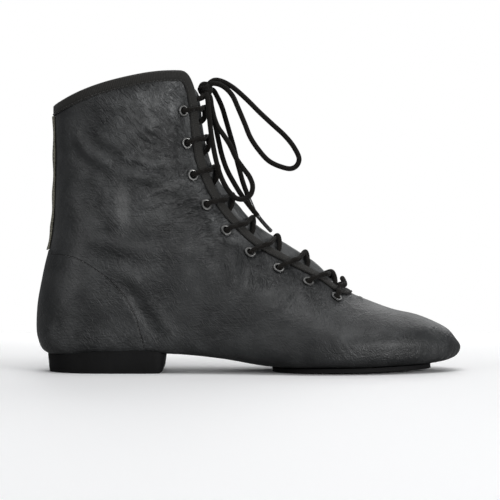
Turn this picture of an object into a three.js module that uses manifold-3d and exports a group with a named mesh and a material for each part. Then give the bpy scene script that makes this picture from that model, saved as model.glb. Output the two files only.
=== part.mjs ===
// A lace-up dance boot in soft leather with a split sole. It is a right boot:
// toe along +X, outer side along -Y, up along +Z, lengths in millimetres.
// The origin is on the ground, under the middle of the heel block.

import * as THREE from 'three';
import { mergeVertices } from 'three/addons/utils/BufferGeometryUtils.js';
import Module from 'manifold-3d';

const wasm = await Module();
wasm.setup();

// Main sizes of the boot
const BOOT_LENGTH = 259;
const HEEL_REACH = 42.7;
const INSTEP_HEIGHT = 80;
const SHAFT_HEIGHT = 90;
const BALL_WIDTH = 89;
const COLLAR_WIDTH = 68;
const HEEL_HEIGHT = 11;
const SOLE_THICKNESS = 2.3;
const WALL = 1.4;
const GAP = 0.3;

// Throat, binding, tongue and back strip
const THROAT_HALF_GAP = 8.5;
const THROAT_END_LENGTH = 12;
const CORNER_RADIUS = 14;
const BINDING_THICKNESS = 0.7;
const BINDING_GAP = 0.5;
const COLLAR_LIP = 5.2;
const THROAT_LIP = 4.6;
const TONGUE_THICKNESS = 1.6;
const TONGUE_BULGE = 2.2;
const TONGUE_HALF_WIDTH = 25;
const TONGUE_UNDER_VAMP = 12;
const STRIP_HALF_WIDTH = 6;
const STRIP_THICKNESS = 0.9;

// Underfoot pieces
const HEEL_LENGTH = 72;
const HEEL_BLOCK_WIDTH = 57;
const HEEL_TAPER = 0.97;
const HEEL_WIDEST = 0.42;
const HEEL_BREAST_NARROWING = 0.06;
const SOLE_FLATTENING = 0.35;
const SOLE_WIDTH_SHARE = 0.8;
const OPENING_INSET = 7;
const OPENING_END_STATIONS = 0.35;
const CUT_HEIGHT = 6 * WALL;
const HEEL_OPENING_RISE = 5 * WALL;
const INSOLE_THICKNESS = 2;
const INSOLE_WIDTH_SHARE = 0.74;
const INSOLE_CLEARANCE = 0.8;
const HEEL_SEAT_GAP = 0.45;

// Eyelets and lace
const EYELETS_A_SIDE = 9;
const EYELET_PITCH = 19.7;
const FIRST_EYELET = 13.2;
const EYELET_INSET = 12;
const EYELET_BORE = 2.1;
const EYELET_BARREL = 2.4;
const EYELET_RIM = 3.8;
const EYELET_HOLE = 2.7;
const EYELET_RIM_HEIGHT = 0.5;
const EYELET_TAIL = 0.5;
const EYELET_SEAT = 0.5;
const LACE_DIAMETER = 3.1;
const CROSSING_HEIGHT = 1.1;
const DIP_HEIGHT = 0.8;
const STRAND_EDGE = 0.18;
const STRAND_MIDDLE = 0.5;
const STRAND_END = 0.76;

// Mesh fineness
const COLUMNS_AROUND = 28;
const EYELET_SIDES = 8;
const CROSSING_SIDES = 6;
const CORD_SIDES = 8;

// Sections of the last from the toe to the collar. Each lies in a plane that stands square to the
// middle plane of the boot, from a front point down to a back point. front and back are shares of
// the length from the back of the boot. top and low are heights: up to 1 a share of the instep
// height, past 1 a share of the shaft height on top of it. seat is 0 on the sole and 1 on the heel.
// foot and leg are half widths as shares of the ball width and of the collar width. ridge and mid
// move the front point and the widest place sideways, as shares of the ball width. wide is where
// along the section it is widest. pinch narrows the front, crown and tread are the squareness of
// the front and back half, and bow lifts the middle by a share of the shaft height.
const NAMES = ['front', 'top', 'back', 'low', 'seat', 'foot', 'leg', 'ridge', 'mid',
  'wide', 'pinch', 'crown', 'tread', 'bow'];
const SECTIONS = [
  [1.000, 0.149, 1.000, 0.149, 0.00, 0.000, 0.000, 0.067, 0.067, 0.50, 0.00, 2.1, 2.2, 0.000],
  [0.988, 0.217, 0.988, 0.080, 0.00, 0.130, 0.000, 0.067, 0.067, 0.50, 0.00, 2.1, 2.3, 0.000],
  [0.968, 0.290, 0.959, 0.042, 0.00, 0.245, 0.000, 0.062, 0.062, 0.56, 0.00, 2.1, 2.8, 0.000],
  [0.935, 0.348, 0.921, 0.026, 0.00, 0.326, 0.000, 0.055, 0.050, 0.60, 0.00, 2.1, 3.5, 0.000],
  [0.893, 0.400, 0.874, 0.018, 0.00, 0.399, 0.000, 0.050, 0.030, 0.62, 0.00, 2.1, 4.2, 0.000],
  [0.838, 0.441, 0.815, 0.008, 0.00, 0.455, 0.000, 0.045, 0.010, 0.64, 0.03, 2.1, 4.5, 0.000],
  [0.7820, 0.508, 0.751, 0.000, 0.00, 0.489, 0.000, 0.040, -0.005, 0.660, 0.22, 1.9, 4.5, 0.000],
  [0.7280, 0.591, 0.683, 0.000, 0.00, 0.498, 0.000, 0.035, -0.020, 0.680, 0.50, 1.8, 4.5, 0.000],
  [0.6670, 0.776, 0.608, 0.000, 0.00, 0.470, 0.000, 0.030, -0.040, 0.710, 0.66, 1.8, 4.2, 0.000],
  [0.5980, 0.900, 0.530, 0.000, 0.14, 0.415, 0.000, 0.025, -0.045, 0.710, 0.68, 1.9, 3.6, 0.000],
  [0.5286, 0.985, 0.436, 0.000, 0.62, 0.372, 0.000, 0.020, -0.035, 0.700, 0.69, 2.2, 4.5, 0.000],
  [0.4707, 1.120, 0.337, 0.000, 0.93, 0.350, 0.000, 0.012, -0.020, 0.670, 0.70, 2.7, 6.0, 0.000],
  [0.4344, 1.269, 0.228, 0.000, 1.00, 0.263, 0.120, 0.006, -0.008, 0.645, 0.72, 3.2, 7.0, 0.000],
  [0.4150, 1.413, 0.120, 0.000, 1.00, 0.185, 0.235, 0.000, 0.000, 0.625, 0.74, 3.7, 8.0, 0.000],
  [0.4045, 1.537, 0.031, 0.000, 1.00, 0.150, 0.285, 0.000, 0.000, 0.605, 0.75, 4.2, 3.6, 0.000],
  [0.3985, 1.641, 0.005, 0.110, 1.00, 0.130, 0.310, 0.000, 0.000, 0.585, 0.75, 4.6, 2.8, 0.000],
  [0.3955, 1.727, 0.003, 0.345, 1.00, 0.100, 0.335, 0.000, 0.000, 0.572, 0.75, 4.6, 2.5, 0.003],
  [0.3930, 1.801, 0.017, 0.612, 1.00, 0.072, 0.360, 0.000, 0.000, 0.560, 0.75, 4.6, 2.3, 0.010],
  [0.3915, 1.862, 0.035, 0.886, 1.00, 0.042, 0.390, 0.000, 0.000, 0.550, 0.74, 4.6, 2.3, 0.022],
  [0.3900, 1.912, 0.042, 1.143, 1.00, 0.018, 0.425, 0.000, 0.000, 0.537, 0.73, 4.6, 2.3, 0.038],
  [0.3890, 1.955, 0.044, 1.441, 1.00, 0.000, 0.465, 0.000, 0.000, 0.525, 0.72, 4.6, 2.3, 0.055],
  [0.3880, 1.990, 0.043, 1.767, 1.00, 0.000, 0.500, 0.000, 0.000, 0.515, 0.72, 4.6, 2.3, 0.073],
];

// Stations along the boot, counted in rows of the table
const TOP = SECTIONS.length - 1;
const THROAT_END = 7;
const SOLE_FRONT_END = 2.85;
const SOLE_REAR_END = 8.7;
const INSOLE_FRONT = 1.2;
const INSOLE_BACK = 13.6;
const STRIP_LOW_END = 17.6;
const CORNER_START = 15.3;
const SMALL_STEP = 0.02;

const rows = SECTIONS.map((row) => Object.fromEntries(NAMES.map((name, i) => [name, row[i]])));

// Past the toe the sections come back upside down, and past the collar they run straight on
function rowAt(index) {
  if (index < 0) {
    const next = rows[-index];
    return { ...next, front: next.back, top: next.low, back: next.front, low: next.top,
      foot: -next.foot, leg: -next.leg };
  }
  if (index > TOP) {
    const reach = index - TOP;
    const last = rows[TOP];
    const before = rows[TOP - 1];
    return Object.fromEntries(NAMES.map((name) => [name, last[name] + (last[name] - before[name]) * reach]));
  }
  return rows[index];
}

// A smooth curve through the rows of the table, at any station between them
function sectionAt(station) {
  const index = Math.min(Math.floor(station), TOP);
  const t = station - index;
  const [a, b, c, d] = [rowAt(index - 1), rowAt(index), rowAt(index + 1), rowAt(index + 2)];
  const blend = (name) => b[name] + 0.5 * t * (c[name] - a[name]
    + t * (2 * a[name] - 5 * b[name] + 4 * c[name] - d[name]
    + t * (3 * (b[name] - c[name]) + d[name] - a[name])));
  return Object.fromEntries(NAMES.map((name) => [name, blend(name)]));
}

function heightOf(share) {
  return share < 1 ? share * INSTEP_HEIGHT : INSTEP_HEIGHT + (share - 1) * SHAFT_HEIGHT;
}

// Where an angle meets the outline of a section: 0 is its front point and PI its back point
function outlineAt(section, angle) {
  const squareness = Math.cos(angle) > 0 ? section.crown : section.tread;
  const along = Math.abs(Math.cos(angle));
  const across = Math.abs(Math.sin(angle));
  const size = (along ** squareness + across ** squareness) ** (1 / squareness);
  const forward = Math.cos(angle) / size;
  const half = section.foot * BALL_WIDTH + section.leg * COLLAR_WIDTH;
  const narrowing = forward > 0 ? 1 - section.pinch * forward ** 2 : 1;
  return { forward, reach: half * narrowing * across / size };
}

// The outer face of the upper. Angles up to PI are its outer side, and past PI its inner side.
function surface(station, angle) {
  const section = sectionAt(station);
  const { forward, reach } = outlineAt(section, angle);
  const share = forward > 0 ? section.wide * (1 - forward)
    : section.wide - (1 - section.wide) * forward;
  const settle = forward > 0 ? 1 - forward ** 2 : 1;
  const shift = (section.ridge + (section.mid - section.ridge) * settle) * BALL_WIDTH;
  const side = Math.sin(angle) >= 0 ? -1 : 1;
  const lift = GAP + SOLE_THICKNESS + (HEEL_HEIGHT - SOLE_THICKNESS) * section.seat;
  const top = heightOf(section.top);
  const low = heightOf(section.low);
  const arch = section.bow * SHAFT_HEIGHT * (1 - Math.abs(2 * share - 1) ** 2.4);
  return new THREE.Vector3(
    (section.front + (section.back - section.front) * share) * BOOT_LENGTH - HEEL_REACH,
    shift + side * reach,
    lift + top + (low - top) * share + arch,
  );
}

function slopes(station, angle) {
  const s = SMALL_STEP;
  const alongRows = surface(station + s, angle).sub(surface(station - s, angle)).divideScalar(2 * s);
  const around = surface(station, angle + s).sub(surface(station, angle - s)).divideScalar(2 * s);
  return { alongRows, around };
}

function normalAt(station, angle) {
  if (station < SMALL_STEP) {
    return new THREE.Vector3(1, 0, 0);
  }
  const { alongRows, around } = slopes(station, angle);
  return alongRows.cross(around).normalize();
}

// A point at a height above the outer face, or below it where the height is negative
function offsetPoint(station, angle, height) {
  return surface(station, angle).addScaledVector(normalAt(station, angle), height);
}

// The angle at which a section is a given distance wide to each side of its middle
function angleForReach(station, reach, low, high) {
  const section = sectionAt(station);
  let [near, far] = [low, high];
  for (let i = 0; i < 30; i += 1) {
    const middle = (near + far) / 2;
    if (outlineAt(section, middle).reach < reach) {
      near = middle;
    } else {
      far = middle;
    }
  }
  return (near + far) / 2;
}

const frontAngle = (station, reach) => angleForReach(station, reach, 0, Math.PI / 2);
const backAngle = (station, reach) => angleForReach(station, reach, Math.PI, Math.PI / 2);

// A place on the face moved by a short vector that lies along the face
function shifted(station, angle, move) {
  const { alongRows, around } = slopes(station, angle);
  const aa = alongRows.dot(alongRows);
  const ab = alongRows.dot(around);
  const bb = around.dot(around);
  const [ma, mb] = [move.dot(alongRows), move.dot(around)];
  const size = aa * bb - ab * ab;
  return [station + (bb * ma - ab * mb) / size, angle + (aa * mb - ab * ma) / size];
}

// The throat: half its width at a station, rounded at its toe end
const stationLength = (station) => slopes(station, 0).alongRows.length();
const throatRamp = THROAT_END_LENGTH / stationLength(THROAT_END + 0.3);
function throatHalf(station) {
  const share = Math.min(Math.max((station - THROAT_END) / throatRamp, 0), 1);
  return THROAT_HALF_GAP * Math.sqrt(share * (2 - share));
}
const throatAngle = (station) => (station > THROAT_END ? frontAngle(station, throatHalf(station)) : 0);

// A solid from faces given as lists of points, with its shared points joined
function closedGeometry(faces) {
  const points = [];
  for (const face of faces) {
    for (let i = 2; i < face.length; i += 1) {
      points.push(...face[0].toArray(), ...face[i - 1].toArray(), ...face[i].toArray());
    }
  }
  const loose = new THREE.BufferGeometry();
  loose.setAttribute('position', new THREE.Float32BufferAttribute(points, 3));
  const joined = mergeVertices(loose, 1e-3);
  const index = joined.index.array;
  const kept = [];
  for (let i = 0; i < index.length; i += 3) {
    const [a, b, c] = [index[i], index[i + 1], index[i + 2]];
    if (a !== b && b !== c && c !== a) {
      kept.push(a, b, c);
    }
  }
  joined.setIndex(kept);
  return joined;
}

// A sheet with an outer and an inner face from grids of points, and a wall along its open edges
function sheetGeometry(outer, inner, hasSideWall = () => true) {
  const faces = [];
  const lastRow = outer.length - 1;
  const lastColumn = outer[0].length - 1;
  for (let i = 0; i < lastRow; i += 1) {
    for (let j = 0; j < lastColumn; j += 1) {
      faces.push([outer[i][j], outer[i + 1][j], outer[i + 1][j + 1], outer[i][j + 1]]);
      faces.push([inner[i][j + 1], inner[i + 1][j + 1], inner[i + 1][j], inner[i][j]]);
    }
    if (hasSideWall(i)) {
      faces.push([outer[i + 1][0], outer[i][0], inner[i][0], inner[i + 1][0]]);
      const [a, b] = [outer[i][lastColumn], outer[i + 1][lastColumn]];
      faces.push([a, b, inner[i + 1][lastColumn], inner[i][lastColumn]]);
    }
  }
  for (let j = 0; j < lastColumn; j += 1) {
    faces.push([outer[0][j], outer[0][j + 1], inner[0][j + 1], inner[0][j]]);
    const [a, b] = [outer[lastRow][j + 1], outer[lastRow][j]];
    faces.push([a, b, inner[lastRow][j], inner[lastRow][j + 1]]);
  }
  return closedGeometry(faces);
}

// A ring of equal sections, one after another, that closes on itself
function loopGeometry(sections) {
  const faces = [];
  sections.forEach((section, i) => {
    const next = sections[(i + 1) % sections.length];
    section.forEach((point, k) => {
      const m = (k + 1) % section.length;
      faces.push([section[m], next[m], next[k], point]);
    });
  });
  return closedGeometry(faces);
}

function evenSteps(from, to, count) {
  return Array.from({ length: count + 1 }, (_, i) => from + (to - from) * i / count);
}

// Cutting and joining
function solidOf(geometry) {
  const bare = geometry.clone();
  bare.deleteAttribute('normal');
  bare.deleteAttribute('uv');
  const joined = mergeVertices(bare, 1e-4);
  const mesh = new wasm.Mesh({
    numProp: 3,
    vertProperties: new Float32Array(joined.attributes.position.array),
    triVerts: new Uint32Array(joined.index.array),
  });
  return new wasm.Manifold(mesh);
}

function geometryOf(solid) {
  const mesh = solid.getMesh();
  const geometry = new THREE.BufferGeometry();
  geometry.setAttribute('position', new THREE.BufferAttribute(mesh.vertProperties, 3));
  geometry.setIndex(new THREE.BufferAttribute(mesh.triVerts, 1));
  return geometry;
}

// Materials
const paint = (color, roughness, metalness = 0) => new THREE.MeshStandardMaterial({ color, roughness, metalness });
const LEATHER = paint(0x303335, 0.5);
const LINING = paint(0x6b6a66, 0.9);
const RUBBER = paint(0x1a1a1a, 0.75);
const RIBBON = paint(0x17181a, 0.85);
const ENAMEL = paint(0x101112, 0.25, 0.4);
const COTTON = paint(0x1c1a18, 0.9);

const group = new THREE.Group();
function addPiece(name, geometry, material) {
  geometry.computeVertexNormals();
  const mesh = new THREE.Mesh(geometry, material);
  mesh.name = name;
  group.add(mesh);
  return mesh;
}

// Grid of the upper: its rows are the stations below, and its columns run from one edge of the
// throat round the outer side, the back and the inner side to the other edge
const upperStations = [0, 0.4, 0.9, 1.5, 2.2, 3, 4, 5, 6, THROAT_END - 0.4, THROAT_END,
  THROAT_END + 0.08 * throatRamp, THROAT_END + 0.3 * throatRamp, THROAT_END + 0.65 * throatRamp,
  THROAT_END + throatRamp, 8.4, 9.3, 10.2, 11.1, 12, 12.9, 13.6, 14.1, 14.6, 15.3, 16.4,
  STRIP_LOW_END, 18.6, 19.6, 20.4, TOP];

// How far the rounded front corner lowers the collar edge, at a distance from the throat edge
function cornerDrop(distance) {
  const inside = Math.max(CORNER_RADIUS - distance, 0);
  return CORNER_RADIUS - Math.sqrt(CORNER_RADIUS ** 2 - inside ** 2);
}

function columnAngle(station, share) {
  const start = throatAngle(station);
  const side = Math.min(share, 1 - share) * 2;
  const eased = side + 0.12 * Math.sin(Math.PI * side) * (side - 1);
  const angle = start + (Math.PI - start) * eased;
  return share > 0.5 ? 2 * Math.PI - angle : angle;
}

function collarStation(share) {
  const edge = surface(TOP, columnAngle(TOP, 0));
  const side = share > 0.5 ? 1 - share : share;
  const distance = surface(TOP, columnAngle(TOP, side)).distanceTo(edge);
  return TOP - cornerDrop(distance) / stationLength(TOP - 0.5);
}

function upperPlace(row, column) {
  const share = column / COLUMNS_AROUND;
  const base = upperStations[row];
  const squeeze = (collarStation(share) - CORNER_START) / (TOP - CORNER_START);
  const station = base > CORNER_START ? CORNER_START + (base - CORNER_START) * squeeze : base;
  return [station, columnAngle(station, share)];
}

const upperGrid = upperStations.map((_, i) => (
  Array.from({ length: COLUMNS_AROUND + 1 }, (_unused, j) => upperPlace(i, j))));
const gridPoints = (grid, height) => grid.map((line) => line.map(([s, a]) => offsetPoint(s, a, height)));

// Underfoot pads: their outline is a rounded shape in stations and shares of the half width
function padGrid(startStation, endStation, reachAt, rowCount, columnCount) {
  return evenSteps(0, 1, rowCount).map((share) => {
    const station = startStation + (endStation - startStation) * (1 - Math.cos(Math.PI * share)) / 2;
    const reach = reachAt(station);
    return evenSteps(-1, 1, columnCount).map((side) => {
      const angle = backAngle(station, reach * Math.abs(side));
      return [station, side > 0 ? 2 * Math.PI - angle : angle];
    });
  });
}

function roundedReach(start, end, widest, power) {
  return (station) => {
    const place = (2 * station - start - end) / (end - start);
    return widest(station) * Math.max(1 - Math.abs(place) ** power, 0) ** (1 / power);
  };
}

const halfWidthAt = (station) => outlineAt(sectionAt(station), Math.PI / 2).reach;

// The heel block spans the seat from its back end to its breast
function stationForBack(x) {
  let [near, far] = [9, 15];
  for (let i = 0; i < 30; i += 1) {
    const middle = (near + far) / 2;
    if (surface(middle, Math.PI).x > x) {
      near = middle;
    } else {
      far = middle;
    }
  }
  return (near + far) / 2;
}

const heelBreast = stationForBack(HEEL_LENGTH / 2);
const heelBack = stationForBack(-HEEL_LENGTH / 2);
function heelReach(station) {
  const x = surface(station, Math.PI).x;
  const place = (x + HEEL_LENGTH / 2) / HEEL_LENGTH;
  const back = Math.min(place / HEEL_WIDEST, 1);
  const front = Math.max((place - HEEL_WIDEST) / (1 - HEEL_WIDEST), 0);
  return HEEL_BLOCK_WIDTH / 2 * Math.sqrt(back * (2 - back)) * (1 - HEEL_BREAST_NARROWING * front ** 2);
}

// Upper
const upperOuter = gridPoints(upperGrid, 0);
const upperInner = gridPoints(upperGrid, -WALL);
const closedRow = (i) => upperStations[i + 1] > THROAT_END;
let upperSolid = solidOf(sheetGeometry(upperOuter, upperInner, closedRow));

function openingPrism(startStation, endStation, reachAt, height) {
  const turns = 28;
  const corners = Array.from({ length: turns }, (_, i) => {
    const turn = 2 * Math.PI * i / turns;
    const station = (startStation + endStation) / 2 + (endStation - startStation) / 2 * Math.cos(turn);
    const rounding = Math.abs(Math.sin(turn)) ** 0.7;
    const angle = backAngle(station, reachAt(station) * rounding);
    const point = surface(station, Math.sin(turn) < 0 ? 2 * Math.PI - angle : angle);
    return new THREE.Vector2(point.x, point.y);
  });
  return new THREE.ExtrudeGeometry(new THREE.Shape(corners), { depth: height, bevelEnabled: false });
}

const soleReach = (station) => SOLE_WIDTH_SHARE * halfWidthAt(station);
const soleOpeningReach = (station) => soleReach(station) - OPENING_INSET;
const heelOpeningReach = () => HEEL_BLOCK_WIDTH / 2 - OPENING_INSET;
const soleOpening = openingPrism(SOLE_FRONT_END + OPENING_END_STATIONS,
  SOLE_REAR_END - OPENING_END_STATIONS, soleOpeningReach, SOLE_THICKNESS + HEEL_HEIGHT / 2 + WALL);
const heelOpening = openingPrism(heelBreast + OPENING_END_STATIONS / 2,
  heelBack - OPENING_END_STATIONS / 2, heelOpeningReach, HEEL_HEIGHT + HEEL_OPENING_RISE);
upperSolid = upperSolid.subtract(solidOf(soleOpening)).subtract(solidOf(heelOpening));

// Eyelets stand along both edges of the throat, an even pitch apart from the collar down
function eyeletAngle(station) {
  let angle = throatAngle(station);
  for (let i = 0; i < 4; i += 1) {
    angle += EYELET_INSET / 4 / slopes(station, angle).around.length();
  }
  return angle;
}

const walk = evenSteps(collarStation(0.03), THROAT_END, 160).map((station) => (
  { station, point: surface(station, eyeletAngle(station)) }));
walk[0].length = 0;
for (let i = 1; i < walk.length; i += 1) {
  walk[i].length = walk[i - 1].length + walk[i].point.distanceTo(walk[i - 1].point);
}

// The station at a distance below the collar, measured along the line of the eyelets
function stationDown(distance) {
  const found = walk.findIndex((step) => step.length >= distance);
  const [a, b] = [walk[found - 1], walk[found]];
  const share = (distance - a.length) / (b.length - a.length);
  return a.station + (b.station - a.station) * share;
}

const eyeletStation = (number) => stationDown(FIRST_EYELET + EYELET_PITCH * number);
const onSide = (side, angle) => (side === 'outer' ? angle : 2 * Math.PI - angle);

function eyeletTurn(side, number) {
  const station = eyeletStation(number);
  const normal = normalAt(station, onSide(side, eyeletAngle(station)));
  return new THREE.Quaternion().setFromUnitVectors(new THREE.Vector3(0, 1, 0), normal);
}

function eyeletCentre(side, number) {
  const station = eyeletStation(number);
  return surface(station, onSide(side, eyeletAngle(station)));
}

const eyeletProfile = [
  [EYELET_BORE, EYELET_SEAT + EYELET_RIM_HEIGHT],
  [EYELET_BORE, -WALL - EYELET_TAIL],
  [EYELET_BARREL, -WALL - EYELET_TAIL],
  [EYELET_BARREL, EYELET_SEAT],
  [EYELET_RIM, EYELET_SEAT],
  [EYELET_BORE, EYELET_SEAT + EYELET_RIM_HEIGHT],
].map(([x, y]) => new THREE.Vector2(x, y));

const SIDES = ['outer', 'inner'];
for (const side of SIDES) {
  for (let number = 0; number < EYELETS_A_SIDE; number += 1) {
    const centre = eyeletCentre(side, number);
    const turn = eyeletTurn(side, number);
    const drill = new THREE.CylinderGeometry(EYELET_HOLE, EYELET_HOLE, CUT_HEIGHT, EYELET_SIDES);
    drill.applyQuaternion(turn).translate(centre.x, centre.y, centre.z);
    upperSolid = upperSolid.subtract(solidOf(drill));
    const ring = addPiece(`eyelet_${side}_${number + 1}`,
      new THREE.LatheGeometry(eyeletProfile, EYELET_SIDES), ENAMEL);
    ring.position.copy(centre);
    ring.quaternion.copy(turn);
  }
}
addPiece('upper', geometryOf(upperSolid), LEATHER);

// Front sole: a patch under the forefoot, flat where it stands
const soleGrid = padGrid(SOLE_FRONT_END, SOLE_REAR_END,
  roundedReach(SOLE_FRONT_END, SOLE_REAR_END, soleReach, 2.6), 14, 10);
const soleTop = gridPoints(soleGrid, GAP);
const soleBottom = gridPoints(soleGrid, GAP + SOLE_THICKNESS + SOLE_FLATTENING);
soleBottom.flat().forEach((point) => point.setZ(Math.max(point.z, 0)));
addPiece('sole_front', sheetGeometry(soleBottom, soleTop), RUBBER);

// Heel block
const heelGrid = padGrid(heelBreast, heelBack, heelReach, 12, 10);
const heelTop = gridPoints(heelGrid, HEEL_SEAT_GAP);
const heelBottom = heelTop.map((line) => line.map((point) => (
  new THREE.Vector3(point.x * HEEL_TAPER, point.y * HEEL_TAPER, 0))));
addPiece('heel', sheetGeometry(heelBottom, heelTop), RUBBER);

// Insole
const insoleReach = (station) => INSOLE_WIDTH_SHARE * halfWidthAt(station);
const insoleGrid = padGrid(INSOLE_FRONT, INSOLE_BACK,
  roundedReach(INSOLE_FRONT - 0.1, INSOLE_BACK + 0.4, insoleReach, 4), 20, 8);
addPiece('insole', sheetGeometry(gridPoints(insoleGrid, -WALL - INSOLE_CLEARANCE),
  gridPoints(insoleGrid, -WALL - INSOLE_CLEARANCE - INSOLE_THICKNESS)), LINING);

// Tongue: it lies under the throat, clear of the binding, and swells up in the gap of the instep
const TONGUE_DEPTH = WALL + BINDING_GAP + BINDING_THICKNESS + 3 * GAP;
const tongueStart = THROAT_END - TONGUE_UNDER_VAMP / stationLength(THROAT_END - 0.3);
const tongueStations = [tongueStart, THROAT_END, 7.5, 8, 8.7, 9.4, 10.1, 10.8, 11.5, 12.3, 13.1,
  14, 15, 16.2, 17.4, 18.6, 19.6, 20.2];
const TONGUE_PLACES = [-1, -0.68, -0.4, -0.3, -0.16, 0, 0.16, 0.3, 0.4, 0.68, 1];
const SWELL_HALF_WIDTH = THROAT_HALF_GAP - 3 * (GAP + BINDING_THICKNESS);
function tongueSwell(station, side) {
  const rise = Math.min(Math.max(station - THROAT_END - throatRamp, 0), 1);
  const fade = Math.min(Math.max((14 - station) / 3, 0), 1);
  const across = side * TONGUE_HALF_WIDTH / SWELL_HALF_WIDTH;
  return TONGUE_BULGE * rise * fade * Math.max(1 - across ** 2, 0);
}
function tongueGrid(depth) {
  return tongueStations.map((station, i) => (
    TONGUE_PLACES.map((side) => {
      const ends = i === 0 || i === tongueStations.length - 1 ? 0.8 : 1;
      const angle = frontAngle(station, TONGUE_HALF_WIDTH * ends * Math.abs(side));
      const height = tongueSwell(station, side * ends) - depth;
      return offsetPoint(station, side > 0 ? angle : -angle, height);
    })));
}
addPiece('tongue', sheetGeometry(tongueGrid(TONGUE_DEPTH), tongueGrid(TONGUE_DEPTH + TONGUE_THICKNESS)),
  LEATHER);

// Back strip over the seam of the shaft
const stripTop = TOP - (COLLAR_LIP + GAP) / slopes(TOP - 0.3, Math.PI).alongRows.length();
const stripStations = upperStations.filter((station) => station >= STRIP_LOW_END && station < stripTop);
const stripGrid = [...stripStations, stripTop].map((station) => (
  [-1, -0.5, 0, 0.5, 1].map((side) => {
    const angle = backAngle(station, STRIP_HALF_WIDTH * Math.abs(side));
    return [station, side > 0 ? 2 * Math.PI - angle : angle];
  })));
addPiece('back_strip', sheetGeometry(gridPoints(stripGrid, GAP + STRIP_THICKNESS),
  gridPoints(stripGrid, GAP)), RIBBON);

// Binding round the collar and the throat: a folded ribbon over the edge of the wall
const throatRows = upperStations.map((_, i) => i).filter((i) => upperStations[i] > THROAT_END);
const bindingPath = [
  [THROAT_END, 0],
  ...throatRows.map((i) => upperGrid[i][0]),
  ...upperGrid[upperGrid.length - 1].slice(1, -1),
  ...throatRows.map((i) => upperGrid[i][COLUMNS_AROUND]).reverse(),
];

function bindingSection(index) {
  const count = bindingPath.length;
  const [station, angle] = bindingPath[index];
  const before = surface(...bindingPath[(index + count - 1) % count]);
  const after = surface(...bindingPath[(index + 1) % count]);
  const inward = normalAt(station, angle).cross(after.sub(before)).normalize();
  const onCollar = index > throatRows.length && index < count - throatRows.length;
  const lip = onCollar ? COLLAR_LIP : THROAT_LIP;
  const at = (distance, height) => {
    const place = shifted(station, angle, inward.clone().multiplyScalar(distance));
    return offsetPoint(...place, height);
  };
  const out = BINDING_GAP + BINDING_THICKNESS;
  return [at(lip, out), at(-out, out), at(-out, -WALL - out), at(lip, -WALL - out),
    at(lip, -WALL - BINDING_GAP), at(-BINDING_GAP, -WALL - BINDING_GAP),
    at(-BINDING_GAP, BINDING_GAP), at(lip, BINDING_GAP)];
}
addPiece('collar_binding', loopGeometry(bindingPath.map((_, i) => bindingSection(i))), RIBBON);

// Lace: where it runs over the boot its middle line stays clear of what it passes
const LACE_RADIUS = LACE_DIAMETER / 2;
const OVER_EYELET = EYELET_SEAT + EYELET_RIM_HEIGHT + GAP + LACE_RADIUS;
const OVER_BINDING = BINDING_GAP + BINDING_THICKNESS + 2 * GAP + LACE_RADIUS;
const IN_THROAT = THROAT_HALF_GAP - BINDING_GAP - BINDING_THICKNESS - 2 * GAP - LACE_RADIUS;

function tubeGeometry(points, diameter, sides, steps) {
  const corners = Array.from({ length: sides }, (_, i) => {
    const turn = 2 * Math.PI * i / sides;
    return new THREE.Vector2(Math.cos(turn), Math.sin(turn)).multiplyScalar(diameter / 2);
  });
  const path = new THREE.CatmullRomCurve3(points, false, 'centripetal');
  return new THREE.ExtrudeGeometry(new THREE.Shape(corners), { steps, extrudePath: path, bevelEnabled: false });
}

const farSide = (side) => (side === 'outer' ? 'inner' : 'outer');
function overEyelet(side, number) {
  const station = eyeletStation(number);
  return offsetPoint(station, onSide(side, eyeletAngle(station)), OVER_EYELET);
}
const betweenRows = (number, share) => (
  eyeletStation(number) + (eyeletStation(number + 1) - eyeletStation(number)) * share);

// A strand comes up through an eyelet, over the edge of the throat, and slips under the far edge
// beside the next eyelet down
function strandPoints(side, number) {
  const edge = betweenRows(number, STRAND_EDGE);
  const middle = betweenRows(number, STRAND_MIDDLE);
  const end = betweenRows(number, STRAND_END);
  return [
    overEyelet(side, number),
    offsetPoint(edge, onSide(side, throatAngle(edge)), OVER_BINDING),
    offsetPoint(middle, 0, CROSSING_HEIGHT),
    offsetPoint(end, onSide(farSide(side), frontAngle(end, IN_THROAT)), DIP_HEIGHT),
  ];
}

function joinedTubes(routes, steps) {
  const [first, ...others] = routes.map((points) => (
    solidOf(tubeGeometry(points, LACE_DIAMETER, CROSSING_SIDES, steps))));
  return geometryOf(others.reduce((whole, tube) => whole.add(tube), first));
}

for (let number = 0; number < EYELETS_A_SIDE - 1; number += 1) {
  addPiece(`lace_crossing_${number + 1}`,
    joinedTubes(SIDES.map((side) => strandPoints(side, number)), 5), COTTON);
}

// The bar across the last two eyelets hangs slack towards the toe
const lastEyelet = EYELETS_A_SIDE - 1;
const barEdge = eyeletStation(lastEyelet) - 0.12;
const barPoint = (side) => offsetPoint(barEdge, onSide(side, throatAngle(barEdge)), OVER_BINDING);
const barMiddle = offsetPoint(THROAT_END + 0.3, 0, OVER_BINDING);
addPiece('lace_bar', joinedTubes([[overEyelet('outer', lastEyelet), barPoint('outer'), barMiddle,
  barPoint('inner'), overEyelet('inner', lastEyelet)]], 10), COTTON);

// The two strands of the top row come out from under the edges and meet below the knot
const KNOT_CENTRE = new THREE.Vector3(60, 0, 171.5);
const KNOT_SIZE = new THREE.Vector3(4.2, 5.2, 4.4);
const tieMeet = new THREE.Vector3(KNOT_CENTRE.x - 1.8, 0,
  KNOT_CENTRE.z - KNOT_SIZE.z - GAP - LACE_RADIUS);
const tieStation = betweenRows(0, 0.06);
const tieStart = (side) => (
  offsetPoint(tieStation, onSide(side, frontAngle(tieStation, IN_THROAT)), DIP_HEIGHT));
addPiece('lace_ties', joinedTubes([[tieStart('outer'), tieMeet, tieStart('inner')]], 6), COTTON);

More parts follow.
